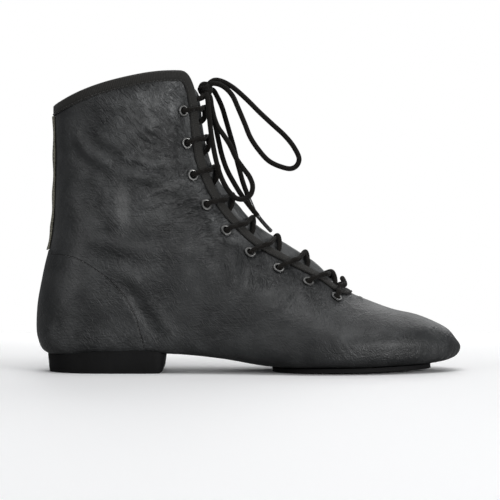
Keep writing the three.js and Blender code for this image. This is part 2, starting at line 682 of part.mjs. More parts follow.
// Knot, bow loops and ends, as they hang in front of the throat
const knot = addPiece('lace_knot', new THREE.SphereGeometry(1, 12, 8), COTTON);
knot.position.copy(KNOT_CENTRE);
knot.scale.copy(KNOT_SIZE);

const LARGE_LOOP = [
  [63.0, 1.9, 175.8], [65.8, 1.9, 177.2], [70.0, 1.5, 176.5], [76.4, 0.5, 173.0], [84.5, -1.0, 166.0],
  [93.0, -2.5, 157.5], [101.0, -4.0, 150.0], [108.5, -5.5, 143.0], [114.0, -6.5, 136.0],
  [117.0, -7.0, 129.0], [115.5, -7.3, 125.0], [112.0, -7.6, 123.2], [105.5, -7.8, 124.5],
  [98.5, -7.6, 128.0], [92.5, -7.0, 134.5], [87.5, -6.2, 142.0], [84.0, -5.2, 150.5],
  [80.2, -4.2, 159.5], [76.2, -3.4, 168.0], [71.2, -2.8, 173.0], [66.9, -2.4, 174.8], [63.8, -2.2, 174.8],
];
const SMALL_LOOP = [
  [62.7, -3.0, 166.8], [64.0, -4.8, 160.5], [65.7, -6.4, 153.5], [68.0, -7.2, 148.0], [71.2, -7.6, 143.5],
  [75.0, -8.0, 137.5], [78.8, -8.2, 129.5], [83.0, -8.2, 123.5], [87.0, -8.4, 118.0],
  [88.8, -8.8, 112.5], [87.6, -9.2, 107.5], [84.0, -9.8, 104.8], [79.5, -10.4, 105.0],
  [75.2, -11.0, 108.5], [71.6, -11.6, 114.0], [69.0, -11.8, 120.0], [66.6, -11.6, 128.5],
  [64.5, -11.0, 139.0], [63.1, -10.2, 149.0], [62.2, -9.2, 158.0], [61.3, -6.8, 166.4],
];
const LONG_END = [
  [62.9, 0.6, 166.7], [64.2, 0.0, 157.5], [66.2, -0.8, 149.0], [68.2, -1.8, 139.5], [70.2, -2.8, 131.0],
  [73.2, -3.8, 122.5], [77.2, -4.6, 115.0], [81.9, -5.2, 107.3], [87.0, -5.6, 100.5], [91.8, -5.8, 94.6],
];
const LONG_TIP = [[92.1, -5.8, 94.2], [96.2, -5.8, 89.3], [100.4, -5.8, 84.8]];
const SHORT_END = [
  [64.6, 3.6, 171.2], [67.0, 4.4, 167.5], [70.0, 5.2, 161.0], [72.6, 5.6, 152.5], [74.9, 5.8, 144.5],
  [77.2, 5.8, 136.5], [79.0, 5.6, 129.0], [81.0, 5.4, 121.5], [83.0, 5.2, 114.5], [85.8, 5.0, 106.8],
];
const SHORT_TIP = [[86.0, 5.0, 106.4], [88.5, 4.8, 100.5], [91.0, 4.6, 94.8]];
const TIP_DIAMETER = 2.4;
const asPoints = (list) => list.map((place) => new THREE.Vector3(...place));
const cords = [
  ['lace_loop_large', LARGE_LOOP, LACE_DIAMETER, 24], ['lace_loop_small', SMALL_LOOP, LACE_DIAMETER, 22],
  ['lace_end_long', LONG_END, LACE_DIAMETER, 12], ['lace_end_short', SHORT_END, LACE_DIAMETER, 12],
  ['lace_tip_long', LONG_TIP, TIP_DIAMETER, 2], ['lace_tip_short', SHORT_TIP, TIP_DIAMETER, 2],
];
for (const [name, route, diameter, steps] of cords) {
  addPiece(name, tubeGeometry(asPoints(route), diameter, CORD_SIDES, steps), COTTON);
}

export default group;
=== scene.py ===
"""The finishes, laces and soft surfaces of a lace-up dance boot, made around its fixed frame.

The boot is a right boot: toe along +X, outer side along -Y, up along +Z, in metres.
"""

import math
from functools import lru_cache

import bmesh
import bpy
import numpy as np
from mathutils import Euler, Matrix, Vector


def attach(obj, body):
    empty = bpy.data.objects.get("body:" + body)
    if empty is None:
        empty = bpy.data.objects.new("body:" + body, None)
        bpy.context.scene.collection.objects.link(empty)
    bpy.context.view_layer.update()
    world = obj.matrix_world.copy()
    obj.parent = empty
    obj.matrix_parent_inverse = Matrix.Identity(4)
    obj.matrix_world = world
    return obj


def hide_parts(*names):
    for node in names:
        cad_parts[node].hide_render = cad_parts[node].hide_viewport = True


bl_info = {
    "name": "Lace-up Dance Boot",
    "version": (1, 0, 0),
    "blender": (4, 5, 0),
    "location": "3D View > Sidebar > Dance Boot",
    "description": "Builds a soft leather dance boot with its laces, split sole and stage",
    "category": "Add Mesh",
}

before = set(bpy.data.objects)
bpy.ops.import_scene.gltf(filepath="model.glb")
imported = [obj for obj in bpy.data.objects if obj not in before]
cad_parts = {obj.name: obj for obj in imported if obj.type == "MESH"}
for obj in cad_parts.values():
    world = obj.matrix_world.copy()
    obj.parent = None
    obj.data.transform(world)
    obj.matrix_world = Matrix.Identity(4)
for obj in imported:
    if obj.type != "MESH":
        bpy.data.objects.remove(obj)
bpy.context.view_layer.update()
MM = 0.001
BODY = "root"

# Stations along the boot, counted in rows of the table of sections
THROAT_END = 7
SOLE_FRONT_END = 2.85
SOLE_REAR_END = 8.7
INSOLE_FRONT = 1.2
INSOLE_BACK = 13.6
STRIP_LOW_END = 17.6
CORNER_START = 15.3
SMALL_STEP = 0.02
# Heel block: where it is widest, where its breast starts to round, and how much narrower the breast is
HEEL_WIDEST = 0.42
HEEL_ROUNDING = 0.9
HEEL_BREAST_NARROWING = 0.06
HEEL_BREAST_CORNER = 0.72

# Fixed sizes of the boot
GAP = 0.3 * MM
THROAT_HALF_GAP = 8.5 * MM
THROAT_END_LENGTH = 12 * MM
CORNER_RADIUS = 14 * MM
BINDING_THICKNESS = 0.7 * MM
BINDING_GAP = 0.5 * MM
TONGUE_THICKNESS = 1.6 * MM
TONGUE_BULGE = 2.2 * MM
TONGUE_HALF_WIDTH = 25 * MM
TONGUE_UNDER_VAMP = 12 * MM
STRIP_REACH = 7.5 * MM
STRIP_CROWN = 1.3 * MM
HEEL_LENGTH = 72 * MM
HEEL_BLOCK_WIDTH = 57 * MM
HEEL_TAPER = 0.97
HEEL_SEAT_GAP = 0.45 * MM
HEEL_CORNER = 3.2 * MM
SOLE_FLATTENING = 0.35 * MM
SOLE_WIDTH_SHARE = 0.8
INSOLE_THICKNESS = 2 * MM
INSOLE_WIDTH_SHARE = 0.74
INSOLE_CLEARANCE = 0.8 * MM
TONGUE_TOP = 20.2
TONGUE_LEAN = 9 * MM
TONGUE_LEAN_START = 17
EYELETS_A_SIDE = 9
EYELET_PITCH = 19.7 * MM
FIRST_EYELET = 13.2 * MM
EYELET_INSET = 12 * MM
EYELET_BORE = 2.1 * MM
EYELET_BARREL = 2.4 * MM
EYELET_RIM = 3.8 * MM
EYELET_RIM_HEIGHT = 0.5 * MM
EYELET_TAIL = 0.5 * MM
EYELET_SEAT = 0.5 * MM
EYELET_CUT = 2.9 * MM
CROSSING_HEIGHT = 1.1 * MM
DIP_HEIGHT = 0.8 * MM
# Where and how wide the painted glint lies on each eyelet's rim, as a thin bright metallic ring
GLINT_RADIUS = 2.75 * MM
GLINT_WIDTH = 0.30 * MM
LINING_DEPTH = 0.9 * MM
STITCH_SINK = 0.25
STITCH_SHARE = 0.72

# Sections of the last from the toe to the collar, as shares of the sizes that they follow
ROW_NAMES = ("front", "top", "back", "low", "seat", "foot", "leg", "ridge", "mid",
             "wide", "pinch", "crown", "tread", "bow")
SECTIONS = np.array([
    [1.000, 0.149, 1.000, 0.149, 0.00, 0.000, 0.000, 0.067, 0.067, 0.50, 0.00, 2.1, 2.2, 0.000],
    [0.988, 0.217, 0.988, 0.080, 0.00, 0.130, 0.000, 0.067, 0.067, 0.50, 0.00, 2.1, 2.3, 0.000],
    [0.968, 0.290, 0.959, 0.042, 0.00, 0.245, 0.000, 0.062, 0.062, 0.56, 0.00, 2.1, 2.8, 0.000],
    [0.935, 0.348, 0.921, 0.026, 0.00, 0.326, 0.000, 0.055, 0.050, 0.60, 0.00, 2.1, 3.5, 0.000],
    [0.893, 0.400, 0.874, 0.018, 0.00, 0.399, 0.000, 0.050, 0.030, 0.62, 0.00, 2.1, 4.2, 0.000],
    [0.838, 0.441, 0.815, 0.008, 0.00, 0.455, 0.000, 0.045, 0.010, 0.64, 0.03, 2.1, 4.5, 0.000],
    [0.7820, 0.508, 0.751, 0.000, 0.00, 0.489, 0.000, 0.040, -0.005, 0.660, 0.22, 1.9, 4.5, 0.000],
    [0.7280, 0.591, 0.683, 0.000, 0.00, 0.498, 0.000, 0.035, -0.020, 0.680, 0.50, 1.8, 4.5, 0.000],
    [0.6670, 0.776, 0.608, 0.000, 0.00, 0.470, 0.000, 0.030, -0.040, 0.710, 0.66, 1.8, 4.2, 0.000],
    [0.5980, 0.900, 0.530, 0.000, 0.14, 0.415, 0.000, 0.025, -0.045, 0.710, 0.68, 1.9, 3.6, 0.000],
    [0.5286, 0.985, 0.436, 0.000, 0.62, 0.372, 0.000, 0.020, -0.035, 0.700, 0.69, 2.2, 4.5, 0.000],
    [0.4707, 1.120, 0.337, 0.000, 0.93, 0.350, 0.000, 0.012, -0.020, 0.670, 0.70, 2.7, 6.0, 0.000],
    [0.4344, 1.269, 0.228, 0.000, 1.00, 0.263, 0.120, 0.006, -0.008, 0.645, 0.72, 3.2, 7.0, 0.000],
    [0.4150, 1.413, 0.120, 0.000, 1.00, 0.185, 0.235, 0.000, 0.000, 0.625, 0.74, 3.7, 8.0, 0.000],
    [0.4045, 1.537, 0.031, 0.000, 1.00, 0.150, 0.285, 0.000, 0.000, 0.605, 0.75, 4.2, 3.6, 0.000],
    [0.3985, 1.641, 0.005, 0.110, 1.00, 0.130, 0.310, 0.000, 0.000, 0.585, 0.75, 4.6, 2.8, 0.000],
    [0.3955, 1.727, 0.003, 0.345, 1.00, 0.100, 0.335, 0.000, 0.000, 0.572, 0.75, 4.6, 2.5, 0.003],
    [0.3930, 1.801, 0.017, 0.612, 1.00, 0.072, 0.360, 0.000, 0.000, 0.560, 0.75, 4.6, 2.3, 0.010],
    [0.3915, 1.862, 0.035, 0.886, 1.00, 0.042, 0.390, 0.000, 0.000, 0.550, 0.74, 4.6, 2.3, 0.022],
    [0.3900, 1.912, 0.042, 1.143, 1.00, 0.018, 0.425, 0.000, 0.000, 0.537, 0.73, 4.6, 2.3, 0.038],
    [0.3890, 1.955, 0.044, 1.441, 1.00, 0.000, 0.465, 0.000, 0.000, 0.525, 0.72, 4.6, 2.3, 0.055],
    [0.3880, 1.990, 0.043, 1.767, 1.00, 0.000, 0.500, 0.000, 0.000, 0.515, 0.72, 4.6, 2.3, 0.073],
])
TOP = len(SECTIONS) - 1

# Folds of the outer side: depth (a ridge where it is negative) and half width in millimetres,
# then the places that the fold runs through, as x and z in millimetres
FOLDS = [
    # Slack of the shaft above the heel
    (-0.9, 4.0, [(-19, 145), (-14, 139.5), (-8, 133), (-1.5, 128), (4, 124.5)]),
    (0.8, 3.2, [(-13, 147), (-5.5, 136), (0.5, 133), (6, 129.6), (12, 127)]),
    (0.6, 2.2, [(6, 124.6), (18.5, 124), (24, 122), (32.5, 121.6), (37, 123.3)]),
    (-0.5, 3.0, [(8, 119), (20, 118), (31, 116), (40, 118)]),
    (-0.9, 6.0, [(4, 117), (4.3, 107), (4.4, 97), (5, 89)]),
    (0.5, 6.0, [(16, 112), (16.5, 100), (16, 90), (17, 82)]),
    (0.4, 6.0, [(-10, 116), (-9, 104), (-8, 92)]),
    # Long creases that run up to the third, fourth and fifth eyelets
    (0.55, 1.5, [(24, 103.5), (29.6, 105.7), (36.5, 107.9), (43, 109)]),
    (-0.4, 2.0, [(22, 99), (29, 101.6), (37, 104), (46, 105.6)]),
    (0.6, 1.5, [(41.5, 97.3), (46.5, 100.9), (53, 103.3), (59.5, 102.8)]),
    (-0.4, 2.0, [(42, 94), (49, 97.4), (56, 99.6)]),
    (0.5, 1.6, [(22, 121), (32, 121.4), (35, 120.4)]),
    (0.45, 1.4, [(40, 118), (48.5, 119.4), (54.6, 117.6)]),
    # Folds over the ankle and under the lower eyelets
    (-0.7, 5.0, [(-11, 80.5), (1.5, 78.3), (18.4, 74.8), (36, 74), (52, 77)]),
    (0.5, 3.5, [(-6, 84), (6, 82.6), (18, 80), (34, 79.4)]),
    (-0.7, 5.0, [(76, 76), (76.5, 68), (76, 60), (75.2, 53)]),
    (0.5, 4.0, [(69, 74), (69, 66), (68, 58)]),
    (-0.6, 4.0, [(92.5, 65), (92.2, 58), (91.6, 50)]),
    (0.4, 3.5, [(84.5, 68), (84.6, 60), (84, 52)]),
    (0.4, 1.6, [(107.6, 38.5), (111, 43), (115.4, 48.6)]),
    (-0.35, 2.0, [(104, 38), (107.6, 43), (111.6, 48)]),
    (0.35, 1.4, [(57.4, 81), (64, 82.6), (70.4, 81.6)]),
    (0.35, 1.2, [(85, 73), (89, 74), (93.6, 73.8)]),
    # Ridge and hollow that run down beside the counter
    (-0.5, 4.0, [(-8.9, 69.8), (2.6, 64.7), (17, 56.7), (26, 48)]),
    (0.55, 3.5, [(9, 59), (18.4, 46), (27, 32), (35.8, 19)]),
    (-0.4, 4.0, [(26, 44), (34, 32), (42, 20)]),
    # Crease line across the toe, where the foot bends
    (0.25, 5.0, [(120, 34), (128, 28), (134, 20), (137, 13)]),
    (0.2, 4.0, [(139, 33), (144, 26), (147, 18)]),
]
# Fine wrinkles of the shaft: they fan out from the upper eyelets, each as start and end
WRINKLES = [
    [(23, 170), (27.9, 157.6), (35.8, 150), (41.3, 146)],
    [(28, 167), (33, 158), (40, 153), (45, 150.4)],
    [(16.4, 152.7), (21.2, 148), (28, 143), (34, 139.5), (40, 138.2)],
    [(20, 158), (26, 150.6), (33, 146), (39, 142.6)],
    [(30, 171), (35, 163), (41.6, 158)],
    [(36, 171.6), (39.6, 165), (44, 161)],
    [(17, 146), (23, 140), (30, 137), (38, 134.4)],
    [(43, 139.4), (49.8, 137), (54.6, 133.8)],
    [(24, 135), (32, 132.6), (40, 131.4), (46, 130.8)],
    [(22, 129), (31, 128), (40, 127.6), (46, 126.4)],
    [(33, 125.4), (40, 124.6), (47, 122)],
    [(46, 156), (50, 152.6), (54, 147)],
    [(45, 146.6), (49.6, 143.6), (54, 141)],
    [(32, 114.6), (40, 115.6), (48, 114.4)],
    [(30, 110.6), (39, 112), (47, 111.8)],
    [(12, 163), (18, 156), (24, 151)],
    [(8, 158), (13, 151), (19, 146.6)],
    [(46, 93), (54, 95.6), (61, 94.6)],
    [(52, 87.6), (60, 90), (67, 88.4)],
    [(60, 77), (68, 78.6), (75, 76.4)],
    [(0, 130.6), (8, 131.4), (16, 130)],
    [(-6, 150), (2, 144), (10, 141)],
]
WRINKLE_DEPTH = 0.3
WRINKLE_WIDTH = 1.1
FOLD_STRENGTH = 1.8
# The inner side's folds: how far they are moved, and how deep they are beside the outer side's
INNER_SHIFT = (3 * MM, -4 * MM)
INNER_SHARE = 0.85
# The counter lies this high on the leather, behind a groove of this depth
COUNTER_STEP = 0.25 * MM
COUNTER_GROOVE = 0.18 * MM
# Slow waves of the leather and of the tongue: height, size of a wave and seed
LEATHER_WAVES = ((0.35 * MM, 26 * MM, 3), (0.16 * MM, 11 * MM, 5))
TONGUE_WAVES = ((0.5 * MM, 9 * MM, 12), (0.22 * MM, 4 * MM, 13))
# Gathers of the toe: the point that they fan out from, how many go round it, how high they stand, the
# level and half width of their band, and where they start and over what length they grow
PLEAT_CENTRE = np.array([168, 3]) * MM
PLEATS_AROUND = 46
PLEAT_DEPTH = 0.32 * MM
PLEAT_LEVEL = 8 * MM
PLEAT_BAND = 7 * MM
PLEAT_START = 172 * MM
PLEAT_GROWTH = 22 * MM
# How far from an eyelet's middle the folds start, and over what length they grow
FLAT_RADIUS = 2.4 * MM
FLAT_RAMP = 5 * MM

# How fine the meshes are: rows along, then columns around or across
LEATHER_GRID = (388, 246)
LINING_GRID = (130, 97)
TONGUE_GRID = (210, 81)
STRIP_GRID = (120, 17)
SOLE_GRID = (90, 61)
HEEL_GRID = (80, 49)
INSOLE_GRID = (110, 41)

# The seam of the counter on the outer side, as x and z in millimetres
COUNTER_SEAM = [(-32.5, 71.4), (-24.2, 71.1), (-18.4, 69.7), (-12.6, 67.2), (-6.1, 63.2), (1.2, 58.1),
                (6.2, 53.1), (11.2, 48.1), (15.6, 40.8), (19.2, 32.9), (21.3, 24.3), (23.5, 17)]
# A small double row of stitches where the vamp closes, the same way
VAMP_TACK = [(152.4, 47.2), (154.2, 45.9), (156.0, 44.6)]

# Knot, bow loops and ends, in millimetres, as they hang in front of the throat
KNOT_CENTRE = np.array([60.0, 0, 171.5]) * MM
KNOT_SIZE = np.array([4.2, 5.2, 4.4]) * MM
LARGE_LOOP = [
    [63.0, 1.9, 175.8], [65.8, 1.9, 177.2], [70.0, 1.5, 176.5], [76.4, 0.5, 173.0], [84.5, -1.0, 166.0],
    [93.0, -2.5, 157.5], [101.0, -4.0, 150.0], [108.5, -5.5, 143.0], [114.0, -6.5, 136.0],
    [117.0, -7.0, 129.0], [115.5, -7.3, 125.0], [112.0, -7.6, 123.2], [105.5, -7.8, 124.5],
    [98.5, -7.6, 128.0], [92.5, -7.0, 134.5], [87.5, -6.2, 142.0], [84.0, -5.2, 150.5],
    [80.2, -4.2, 159.5], [76.2, -3.4, 168.0], [71.2, -2.8, 173.0], [66.9, -2.4, 174.8], [63.8, -2.2, 174.8],
]
SMALL_LOOP = [
    [62.7, -3.0, 166.8], [64.0, -4.8, 160.5], [65.7, -6.4, 153.5], [68.0, -7.2, 148.0], [71.2, -7.6, 143.5],
    [75.0, -8.0, 137.5], [78.8, -8.2, 129.5], [83.0, -8.2, 123.5], [87.0, -8.4, 118.0],
    [88.8, -8.8, 112.5], [87.6, -9.2, 107.5], [84.0, -9.8, 104.8], [79.5, -10.4, 105.0],
    [75.2, -11.0, 108.5], [71.6, -11.6, 114.0], [69.0, -11.8, 120.0], [66.6, -11.6, 128.5],
    [64.5, -11.0, 139.0], [63.1, -10.2, 149.0], [62.2, -9.2, 158.0], [61.3, -6.8, 166.4],
]
LONG_END = [
    [62.9, 0.6, 166.7], [64.2, 0.0, 157.5], [66.2, -0.8, 149.0], [68.2, -1.8, 139.5], [70.2, -2.8, 131.0],
    [73.2, -3.8, 122.5], [77.2, -4.6, 115.0], [81.9, -5.2, 107.3], [87.0, -5.6, 100.5], [91.8, -5.8, 94.6],
]
LONG_TIP = [[92.1, -5.8, 94.2], [96.2, -5.8, 89.3], [100.4, -5.8, 84.8]]
SHORT_END = [
    [64.6, 3.6, 171.2], [67.0, 4.4, 167.5], [70.0, 5.2, 161.0], [72.6, 5.6, 152.5], [74.9, 5.8, 144.5],
    [77.2, 5.8, 136.5], [79.0, 5.6, 129.0], [81.0, 5.4, 121.5], [83.0, 5.2, 114.5], [85.8, 5.0, 106.8],
]
SHORT_TIP = [[86.0, 5.0, 106.4], [88.5, 4.8, 100.5], [91.0, 4.6, 94.8]]
TIP_DIAMETER = 2.4 * MM
TIP_LIP = 1.12
# The knot: how far out of its middle the loops start, how thick its core is, and for each of its turns
# the tilt, the lean, the shift along it and the size as a share
KNOT_DEPTH = 0.4
KNOT_CORE = 0.72
KNOT_TURNS = ((0.25, 0.1, 0.1, 0.72), (-0.5, 0.35, -0.35, 0.66), (1.15, -0.3, 0.25, 0.7))
# How far down each strand is where it passes the throat's edge, as a share of the pitch
STRAND_SLANTS = (0.36, 0.38, 0.4, 0.5, 0.5, 0.5, 0.5, 0.46, 0.3)
# How far the strands that cross are lifted or pressed down, where one lies on the other
STRAND_OVER = 0.6 * MM
STRAND_UNDER = -1.6 * MM
STRAND_ACROSS = 0.2
STRAND_FAR_EDGE = 0.86
STRAND_BELOW = 0.9
STRAND_INSET = 0.35
# Shares of the lace's radius where it is pressed: in an eyelet, in its mouth, and where two strands cross
LACE_IN_EYELET = 0.62
LACE_IN_MOUTH = 0.9
LACE_CROSSING = 0.94
TIE_STATION = 0.06


def length_property(name, description, default):
    """A length in metres that a user can change."""
    return bpy.props.FloatProperty(name=name, description=description, default=default,
                                   min=0.0, precision=5, unit="LENGTH", subtype="DISTANCE")


def colour_property(name, description, default):
    """A linear colour that a user can change."""
    return bpy.props.FloatVectorProperty(name=name, description=description, default=default,
                                         size=3, min=0.0, max=1.0, subtype="COLOR")


class BootSizes(bpy.types.PropertyGroup):
    """Sizes of the boot and of its finish."""

    boot_length: length_property("Boot length", "From the back of the boot to the nose", 259 * MM)
    heel_reach: length_property("Heel reach", "From the middle of the heel back to the boot's end", 42.7 * MM)
    instep_height: length_property("Instep height", "From the sole up to the instep", 80 * MM)
    shaft_height: length_property("Shaft height", "From the instep up to the collar", 90 * MM)
    ball_width: length_property("Ball width", "Widest place of the forefoot", 89 * MM)
    collar_width: length_property("Collar width", "Width across the top of the shaft", 68 * MM)
    heel_height: length_property("Heel height", "Thickness of the heel block", 11 * MM)
    sole_thickness: length_property("Sole thickness", "Thickness of the sole patch", 2.3 * MM)
    wall: length_property("Wall", "Leather and lining together", 1.4 * MM)
    collar_lip: length_property("Collar ribbon", "Width of the ribbon below the collar edge", 5.2 * MM)
    throat_lip: length_property("Throat ribbon", "Width of the ribbon beside the throat", 4.6 * MM)
    lace: length_property("Lace", "Diameter of the round lace", 3.1 * MM)
    stitch_pitch: length_property("Stitch pitch", "From one stitch to the next", 2.4 * MM)
    thread: length_property("Thread", "Diameter of the sewing thread", 0.34 * MM)
    grain: length_property("Grain", "Size of one cell of the leather's grain", 0.9 * MM)


class BootColours(bpy.types.PropertyGroup):
    """Colours of the boot's materials."""

    leather: colour_property("Leather", "Body of the leather", (0.0085, 0.0093, 0.0098))
    # Also a painted highlight: the leather is painted this light in rubbed patches, most beside the lacing
    # and over the tongue
    leather_worn_and_lit: colour_property("Rubbed and lit leather", "Where the leather is rubbed and stretched, and painted lighter as a highlight",
                                  (0.098, 0.101, 0.102))
    lining: colour_property("Lining", "Fabric inside the boot", (0.030, 0.030, 0.032))
    rubber: colour_property("Rubber", "Heel block and sole patch", (0.0050, 0.0050, 0.0052))
    ribbon: colour_property("Ribbon", "Binding and back strip", (0.0145, 0.0141, 0.0132))
    enamel: colour_property("Enamel", "Eyelets", (0.008, 0.008, 0.008))
    lace: colour_property("Lace", "Braided lace", (0.0060, 0.0052, 0.0044))
    thread: colour_property("Thread", "Stitches of the counter", (0.060, 0.061, 0.060))
    strip: colour_property("Back strip", "Strip over the seam behind", (0.125, 0.121, 0.096))
    # The eyelets' painted glint takes this colour, a metallic ring where the enamel is also rubbed through
    glint_metal: colour_property("Metal glint", "Eyelets' painted glint, where the enamel is rubbed through", (0.30, 0.30, 0.29))
    floor: colour_property("Floor", "Pale floor", (0.98, 0.98, 0.985))


def sizes():
    """The sizes that the scene holds."""
    return bpy.context.scene.boot_sizes


def colours():
    """The colours that the scene holds."""
    return bpy.context.scene.boot_colours


# Shape of the upper

def extended_table():
    """The table with one row before the toe, turned upside down, and two straight on past the collar."""
    before = SECTIONS[1].copy()
    swapped = [ROW_NAMES.index(name) for name in ("back", "low", "front", "top")]
    before[:4] = SECTIONS[1][swapped]
    before[[ROW_NAMES.index("foot"), ROW_NAMES.index("leg")]] *= -1
    step = SECTIONS[-1] - SECTIONS[-2]
    return np.vstack([before, SECTIONS, SECTIONS[-1] + step, SECTIONS[-1] + 2 * step])


TABLE = extended_table()


def section_at(station):
    """Each column of the table at a station: a uniform Catmull-Rom curve through the rows."""
    index = np.clip(np.floor(station), 0, TOP).astype(int)
    t = (station - index)[..., None]
    a, b, c, d = (TABLE[index + k] for k in range(4))
    blend = b + 0.5 * t * (c - a + t * (2 * a - 5 * b + 4 * c - d + t * (3 * (b - c) + d - a)))
    return dict(zip(ROW_NAMES, np.moveaxis(blend, -1, 0)))


def outline_at(section, angle):
    """A superellipse: cosine and sine over the root of the sum of their powers, pinched in front."""
    size = sizes()
    along, across = np.abs(np.cos(angle)), np.abs(np.sin(angle))
    power = np.where(np.cos(angle) > 0, section["crown"], section["tread"])
    root = (along ** power + across ** power) ** (1 / power)
    forward = np.cos(angle) / root
    half = section["foot"] * size.ball_width + section["leg"] * size.collar_width
    narrowing = np.where(forward > 0, 1 - section["pinch"] * forward ** 2, 1)
    return forward, half * narrowing * across / root


def height_of(share):
    """Shares up to 1 climb the instep, and past 1 the shaft on top of it."""
    size = sizes()
    shaft = size.instep_height + (share - 1) * size.shaft_height
    return np.where(share < 1, share * size.instep_height, shaft)


def surface(station, angle):
    """The upper's outer face: each section runs from its front point to its back point, as wide to each
    side as its outline says. Angles up to pi are the outer side, and past pi the inner side."""
    station, angle = np.broadcast_arrays(np.asarray(station, float), np.asarray(angle, float))
    size = sizes()
    row = section_at(station)
    forward, reach = outline_at(row, angle)
    share = np.where(forward > 0, row["wide"] * (1 - forward), row["wide"] - (1 - row["wide"]) * forward)
    settle = np.where(forward > 0, 1 - forward ** 2, 1)
    shift = (row["ridge"] + (row["mid"] - row["ridge"]) * settle) * size.ball_width
    side = np.where(np.sin(angle) >= 0, -1, 1)
    lift = GAP + size.sole_thickness + (size.heel_height - size.sole_thickness) * row["seat"]
    top, low = height_of(row["top"]), height_of(row["low"])
    arch = row["bow"] * size.shaft_height * (1 - np.abs(2 * share - 1) ** 2.4)
    x = (row["front"] + (row["back"] - row["front"]) * share) * size.boot_length - size.heel_reach
    return np.stack([x, shift + side * reach, lift + top + (low - top) * share + arch], -1)


def dot(a, b):
    """Scalar products of two lists of vectors."""
    return np.sum(a * b, -1)


def unit(vectors):
    """The vectors at length one."""
    return vectors / np.maximum(np.linalg.norm(vectors, axis=-1, keepdims=True), 1e-12)


def slopes(station, angle):
    """How the face moves with the station and with the angle, by central differences."""
    s = SMALL_STEP
    along = (surface(station + s, angle) - surface(station - s, angle)) / (2 * s)
    around = (surface(station, angle + s) - surface(station, angle - s)) / (2 * s)
    return along, around


def normals(station, angle):
    """Unit vectors square to the face, pointing out: straight ahead at the very nose."""
    along, around = slopes(station, angle)
    nose = np.broadcast_to(np.asarray(station)[..., None] < SMALL_STEP, along.shape)
    return np.where(nose, np.array([1.0, 0, 0]), unit(np.cross(along, around)))


def angle_for_reach(station, reach, behind=False):
    """The angle at which a section is that far from its middle, found by halving a range."""
    station, reach = np.broadcast_arrays(np.asarray(station, float), np.asarray(reach, float))
    row = section_at(station)
    near = np.full(station.shape, math.pi if behind else 0.0)
    far = np.full(station.shape, math.pi / 2)
    for _ in range(30):
        middle = (near + far) / 2
        inside = outline_at(row, middle)[1] < reach
        near, far = np.where(inside, middle, near), np.where(inside, far, middle)
    return (near + far) / 2


def station_length(station):
    """Length of one row along the front point of the sections, at a station."""
    return float(np.linalg.norm(slopes(np.array(float(station)), np.array(0.0))[0]))


def throat_ramp():
    """Rows over which the throat opens from its end to its full width."""
    return THROAT_END_LENGTH / station_length(THROAT_END + 0.3)


def throat_half(station):
    """Half the width of the throat: a quarter of an ellipse at its toe end, then even."""
    share = np.clip((station - THROAT_END) / throat_ramp(), 0, 1)
    return THROAT_HALF_GAP * np.sqrt(share * (2 - share))


def throat_angle(station):
    """The angle of the throat's edge, and 0 where the throat is closed."""
    angle = angle_for_reach(station, throat_half(station))
    return np.where(np.asarray(station) > THROAT_END, angle, 0.0)


def column_angle(station, share):
    """Angles of a share of the way round, from one edge of the throat to the other by the back."""
    start = throat_angle(station)
    side = np.minimum(share, 1 - share) * 2
    eased = side + 0.12 * np.sin(math.pi * side) * (side - 1)
    angle = start + (math.pi - start) * eased
    return np.where(share > 0.5, 2 * math.pi - angle, angle)


def corner_distance(share):
    """Distance along the top row from the throat's edge."""
    top = np.full(np.shape(share), float(TOP))
    side = np.minimum(share, 1 - share)
    edge = surface(TOP, column_angle(np.array(float(TOP)), np.array(0.0)))
    return np.linalg.norm(surface(top, column_angle(top, side)) - edge, axis=-1)


def collar_station(share):
    """The collar's edge: the top row, lowered by a quarter circle at its two front corners."""
    inside = np.maximum(CORNER_RADIUS - corner_distance(share), 0)
    drop = CORNER_RADIUS - np.sqrt(CORNER_RADIUS ** 2 - inside ** 2)
    return TOP - drop / station_length(TOP - 0.5)


def squeezed(base, share):
    """Rows near the collar, drawn together under its rounded corners."""
    squeeze = (collar_station(share) - CORNER_START) / (TOP - CORNER_START)
    return np.where(base > CORNER_START, CORNER_START + (base - CORNER_START) * squeeze, base)


# Relief of the leather

def soft_noise(points, cell, seed):
    """Value noise: seeded random numbers on a lattice, blended smoothly between its corners."""
    lattice = np.random.default_rng(seed).random((32, 32, 32)) * 2 - 1
    place = points / cell
    whole = np.floor(place).astype(int)
    t = place - whole
    t = t * t * (3 - 2 * t)
    total = np.zeros(points.shape[:-1])
    for corner in np.ndindex(2, 2, 2):
        weight = np.prod(np.where(np.array(corner) > 0, t, 1 - t), axis=-1)
        i, j, k = np.moveaxis((whole + corner) % 32, -1, 0)
        total += weight * lattice[i, j, k]
    return total


def slow_waves(points, layers):
    """The sum of some layers of noise."""
    return sum(height * soft_noise(points, cell, seed) for height, cell, seed in layers)


def smooth_route(places, count):
    """Evenly spaced points on a centripetal Catmull-Rom curve through the places."""
    p = np.asarray(places, float)
    p = np.vstack([2 * p[0] - p[1], p, 2 * p[-1] - p[-2]])
    gaps = np.maximum(np.linalg.norm(np.diff(p, axis=0), axis=1) ** 0.5, 1e-9)[:, None]
    x0, x1, x2, x3 = p[:-3], p[1:-2], p[2:-1], p[3:]
    d0, d1, d2 = gaps[:-2], gaps[1:-1], gaps[2:]
    start = ((x1 - x0) / d0 - (x2 - x0) / (d0 + d1) + (x2 - x1) / d1) * d1
    end = ((x2 - x1) / d1 - (x3 - x1) / (d1 + d2) + (x3 - x2) / d2) * d1
    t = np.linspace(0, 1, 24, endpoint=False)[None, :, None]
    c2 = -3 * x1 + 3 * x2 - 2 * start - end
    c3 = 2 * x1 - 2 * x2 + start + end
    curve = x1[:, None] + start[:, None] * t + c2[:, None] * t ** 2 + c3[:, None] * t ** 3
    curve = np.vstack([curve.reshape(-1, p.shape[1]), p[-2]])
    return even_points(curve, count)


def route_lengths(points):
    """Distance along a route at each of its points."""
    return np.concatenate([[0], np.cumsum(np.linalg.norm(np.diff(points, axis=0), axis=1))])


